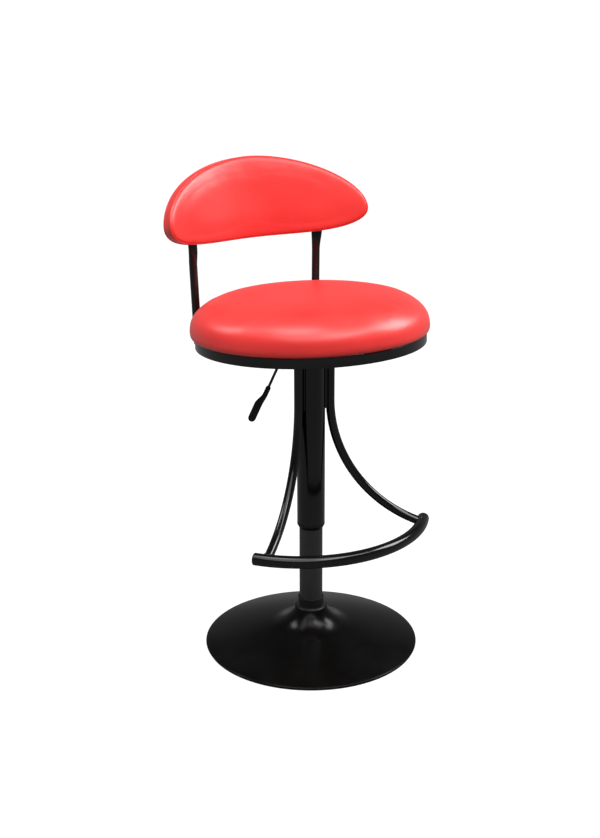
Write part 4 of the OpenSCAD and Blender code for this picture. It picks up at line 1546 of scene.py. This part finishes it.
@dataclass
class BackPosts:
    """Round posts whose upper ends are pressed flat against the pad."""

    radius: float = 7.5 * MM
    foot: tuple[float, float, float] = (126.7 * MM, 195.1 * MM, 583.3 * MM)
    splay: float = 1.53
    recline: float = 1.56
    low: float = -28.0 * MM
    tab_width: float = 22.0 * MM
    tab_thickness: float = 4.0 * MM
    tab_low: float = 12.0 * MM
    tab_top: float = 58.0 * MM
    squeeze_from: float = -38.0 * MM
    columns: int = 40

    def rows(self, pad: BackPad) -> list[list[Vector]]:
        """Rings of points up the left-hand post.

        Args:
            pad: The pad that the post is screwed to.

        Returns:
            The rings.
        """
        # The part's own frames turn about X first and then about Y.
        post = Matrix.Translation(self.foot) @ turned(self.splay, "Y") @ turned(-self.recline, "X")
        back = pad.front_radius + pad.thickness
        reach = self.foot[0] + (pad.place[2] - self.foot[2]) * math.tan(math.radians(self.splay))
        angle = math.degrees(math.asin(reach / (back + self.tab_thickness / 2)))
        tab = (pad.frame() @ Matrix.Translation((0, -pad.front_radius, 0)) @ turned(-angle, "Z")
               @ Matrix.Translation((0, back, 0)))
        origin, axis = post.translation, (post.to_3x3() @ Vector((0, 0, 1))).normalized()
        tab_x, tab_y, tab_z = (tab.to_3x3() @ Vector(v) for v in ((1, 0, 0), (0, 1, 0), (0, 0, 1)))
        rows = []

        def on_axis(height: float) -> Vector:
            """Where the post's axis reaches a height of the tab's frame."""
            return origin + axis * ((height - (origin - tab.translation).dot(tab_z)) / axis.dot(tab_z))

        start = origin + axis * self.low
        first = on_axis(self.squeeze_from)
        square_y = axis.cross(tab_x).normalized()
        for share in spaced(0.0, 1.0, 6)[:-1]:
            rows.append(bowed_section(tab_x, square_y, start.lerp(first, share), self.radius, self.radius, 2,
                                      self.columns))
        for height in spaced(self.squeeze_from, self.tab_low, 16):
            share = eased((height - self.squeeze_from) / (self.tab_low - self.squeeze_from))
            flat = tab.translation + tab_z * height + tab_y * (self.tab_thickness / 2)
            flat += tab_x * (on_axis(height) - flat).dot(tab_x) * (1 - share)
            wide = self.radius + (self.tab_width / 2 - self.radius) * share
            thick = self.radius + (self.tab_thickness / 2 - self.radius) * share
            rows.append(bowed_section(tab_x, square_y.lerp(tab_y, share).normalized(),
                                      on_axis(height).lerp(flat, share), wide, thick, 2 + 3 * share,
                                      self.columns))
        half = self.tab_width / 2
        heights = [self.tab_low + 8 * MM, self.tab_top - half - 10 * MM]
        heights += [self.tab_top - half + half * math.sin(math.radians(a)) for a in spaced(0, 82, 9)]
        for height in heights:
            over = max(height - (self.tab_top - half), 0.0) / half
            wide = half * math.sqrt(max(1 - over ** 2, 0.0))
            centre = tab.translation + tab_z * height + tab_y * (self.tab_thickness / 2)
            rows.append(bowed_section(tab_x, tab_y, centre, wide, self.tab_thickness / 2, 5, self.columns))
        return rows

    def build(self, paint: bpy.types.Material, pad: BackPad) -> None:
        """Makes both posts.

        Args:
            paint: Their finish.
            pad: The pad that they hold.
        """
        rows = self.rows(pad)
        for side, name in ((1, "left"), (-1, "right")):
            post = skinned(f"back_post_{name}", [mirrored(row, side) for row in rows])
            close_ends(post)
            smooth_faces(post, 55)
            dress(post, paint, Body.UPPER, Slot.GLOSS_BLACK, f"post_{name}")


@dataclass
class LeverPaddle:
    """Moulded paddle on the end of the height lever."""

    bend: tuple[float, float, float] = (-46.0 * MM, 0.0, 588.0 * MM)
    slope: float = 61.0
    reach: float = 82.0 * MM
    length: float = 70.0 * MM
    width: float = 15.5 * MM
    neck: float = 9.0 * MM
    step: float = 5.0 * MM
    thickness: float = 6.5 * MM
    stub: float = 0.72
    stub_gain: float = 0.28

    def build(self, plastic: bpy.types.Material) -> None:
        """Makes the paddle.

        Args:
            plastic: Its finish.
        """
        frame = (Matrix.Translation(self.bend) @ turned(90, "X") @ Matrix.Scale(-1, 4, (1, 0, 0))
                 @ turned(-self.slope, "Z"))
        rows = []
        end = self.width / 2
        straight = self.length - end
        stations = spaced(0.0, straight, 30) + [straight + end * math.sin(math.radians(a))
                                                for a in spaced(9, 84, 9)]
        for station in stations:
            share = eased((station / straight - 0.25) / 0.35)
            half = (self.neck + (self.width - self.neck) * share) / 2
            over = max(station - straight, 0.0) / end
            half *= math.sqrt(max(1 - over ** 2, 0.0))
            lead = self.stub + self.stub_gain * math.sin(min(station / (3 * MM), 1.0) * math.pi / 2)
            thick = self.thickness / 2 * lead * (1 - 0.22 * share) * (1 - 0.4 * over ** 3)
            centre = frame @ Vector((self.reach + station, self.step * share, 0))
            turn = frame.to_3x3()
            rows.append(bowed_section(turn @ Vector((0, 1, 0)), turn @ Vector((0, 0, 1)), centre,
                                      half * lead, thick, 2.9, 32))
        paddle = skinned("lever_paddle", rows)
        close_ends(paddle)
        rounded_off(paddle, 60)
        dress(paddle, plastic, Body.LEVER, Slot.BLACK_PLASTIC, "lever_handle")


@dataclass
class CarriedParts:
    """CAD nodes that keep their shape and get a finish."""

    painted: tuple[str, ...] = (
        "sleeve", "top_plate", "tilt_bracket", "seat_plate", "cross_bar_left", "cross_bar_right",
        "strut_left", "strut_right", "web_left", "web_right", "footrest_bar",
        "post_bracket_left", "post_bracket_right", "lever_rod", "base_shell", "seat_ring",
        "post_left", "post_right")
    satin: tuple[str, ...] = ("lower_column", "gas_cylinder", "taper_socket")
    plated: tuple[str, ...] = (
        "hub_socket", "hub_bolts", "column_floor", "race_lower", "race_upper", "bearing_balls", "piston_rod",
        "rod_clip", "valve_block", "release_pin", "seat_bolts", "seat_tee_nuts", "post_bolts", "post_nuts",
        "back_screws", "back_tee_nuts", "lever_pin")
    moulded: tuple[str, ...] = (
        "column_collar", "guide_bush", "piston", "rod_gland", "sleeve_bush", "footrest_caps", "post_caps",
        "lever_handle")
    others: tuple[tuple[str, str], ...] = (
        ("base_weight", "iron"), ("floor_ring", "rubber"), ("seat_board", "wood"), ("back_board", "wood"),
        ("seat_foam", "foam"), ("back_foam", "foam"), ("seat_cover", "vinyl"), ("back_cover", "vinyl"))

    def finish(self, frame: dict, finishes: dict[str, bpy.types.Material]) -> None:
        """Dresses every CAD node.

        Args:
            frame: The loaded frame.
            finishes: Material of each finish.
        """
        plan = {name: "paint" for name in self.painted}
        plan.update({name: "satin" for name in self.satin})
        plan.update({name: "steel" for name in self.plated})
        plan.update({name: "plastic" for name in self.moulded})
        plan.update(dict(self.others))
        for name, node in frame["nodes"].items():
            material = finishes[plan[name]]
            if not node.material_slots:
                node.data.materials.append(material)
            for held in node.material_slots:
                held.material = material
        LOG.info("%d carried nodes dressed", len(plan))


def main() -> None:
    """Builds the stool round its frame."""
    logging.basicConfig(level=logging.INFO, format="%(name)s: %(message)s")
    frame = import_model()
    finishes = {
        "vinyl": Vinyl().make(),
        "paint": Paint().make(),
        "base paint": Paint("base enamel", rough_low=0.20, rough_high=0.28, coat=0.0, shine=0.15).make(),
        "satin": DrawnTube().make(),
        "steel": PlatedSteel().make(),
        "iron": CastIron().make(),
        "plastic": Plastic().make(),
        "rubber": Plastic("floor rubber", (0.012, 0.012, 0.012), (0.030, 0.029, 0.028), 0.66, 0.86, 800.0,
                          0.08 * MM).make(),
        "wood": Plywood().make(),
        "foam": Foam().make(),
    }
    Studio().build()
    CarriedParts().finish(frame, finishes)
    SpunBase().build(finishes["base paint"], finishes["plastic"])
    footrest = Footrest()
    footrest.end_plugs(finishes["plastic"])
    footrest.welds(finishes["paint"])
    footrest.sleeve_lip(finishes["plastic"])
    RoundSeat().build(finishes["vinyl"], finishes["paint"], finishes["steel"])
    pad = BackPad()
    pad.build(finishes["vinyl"])
    BackPosts().build(finishes["paint"], pad)
    LeverPaddle().build(finishes["plastic"])


if __name__ == "__main__":
    main()
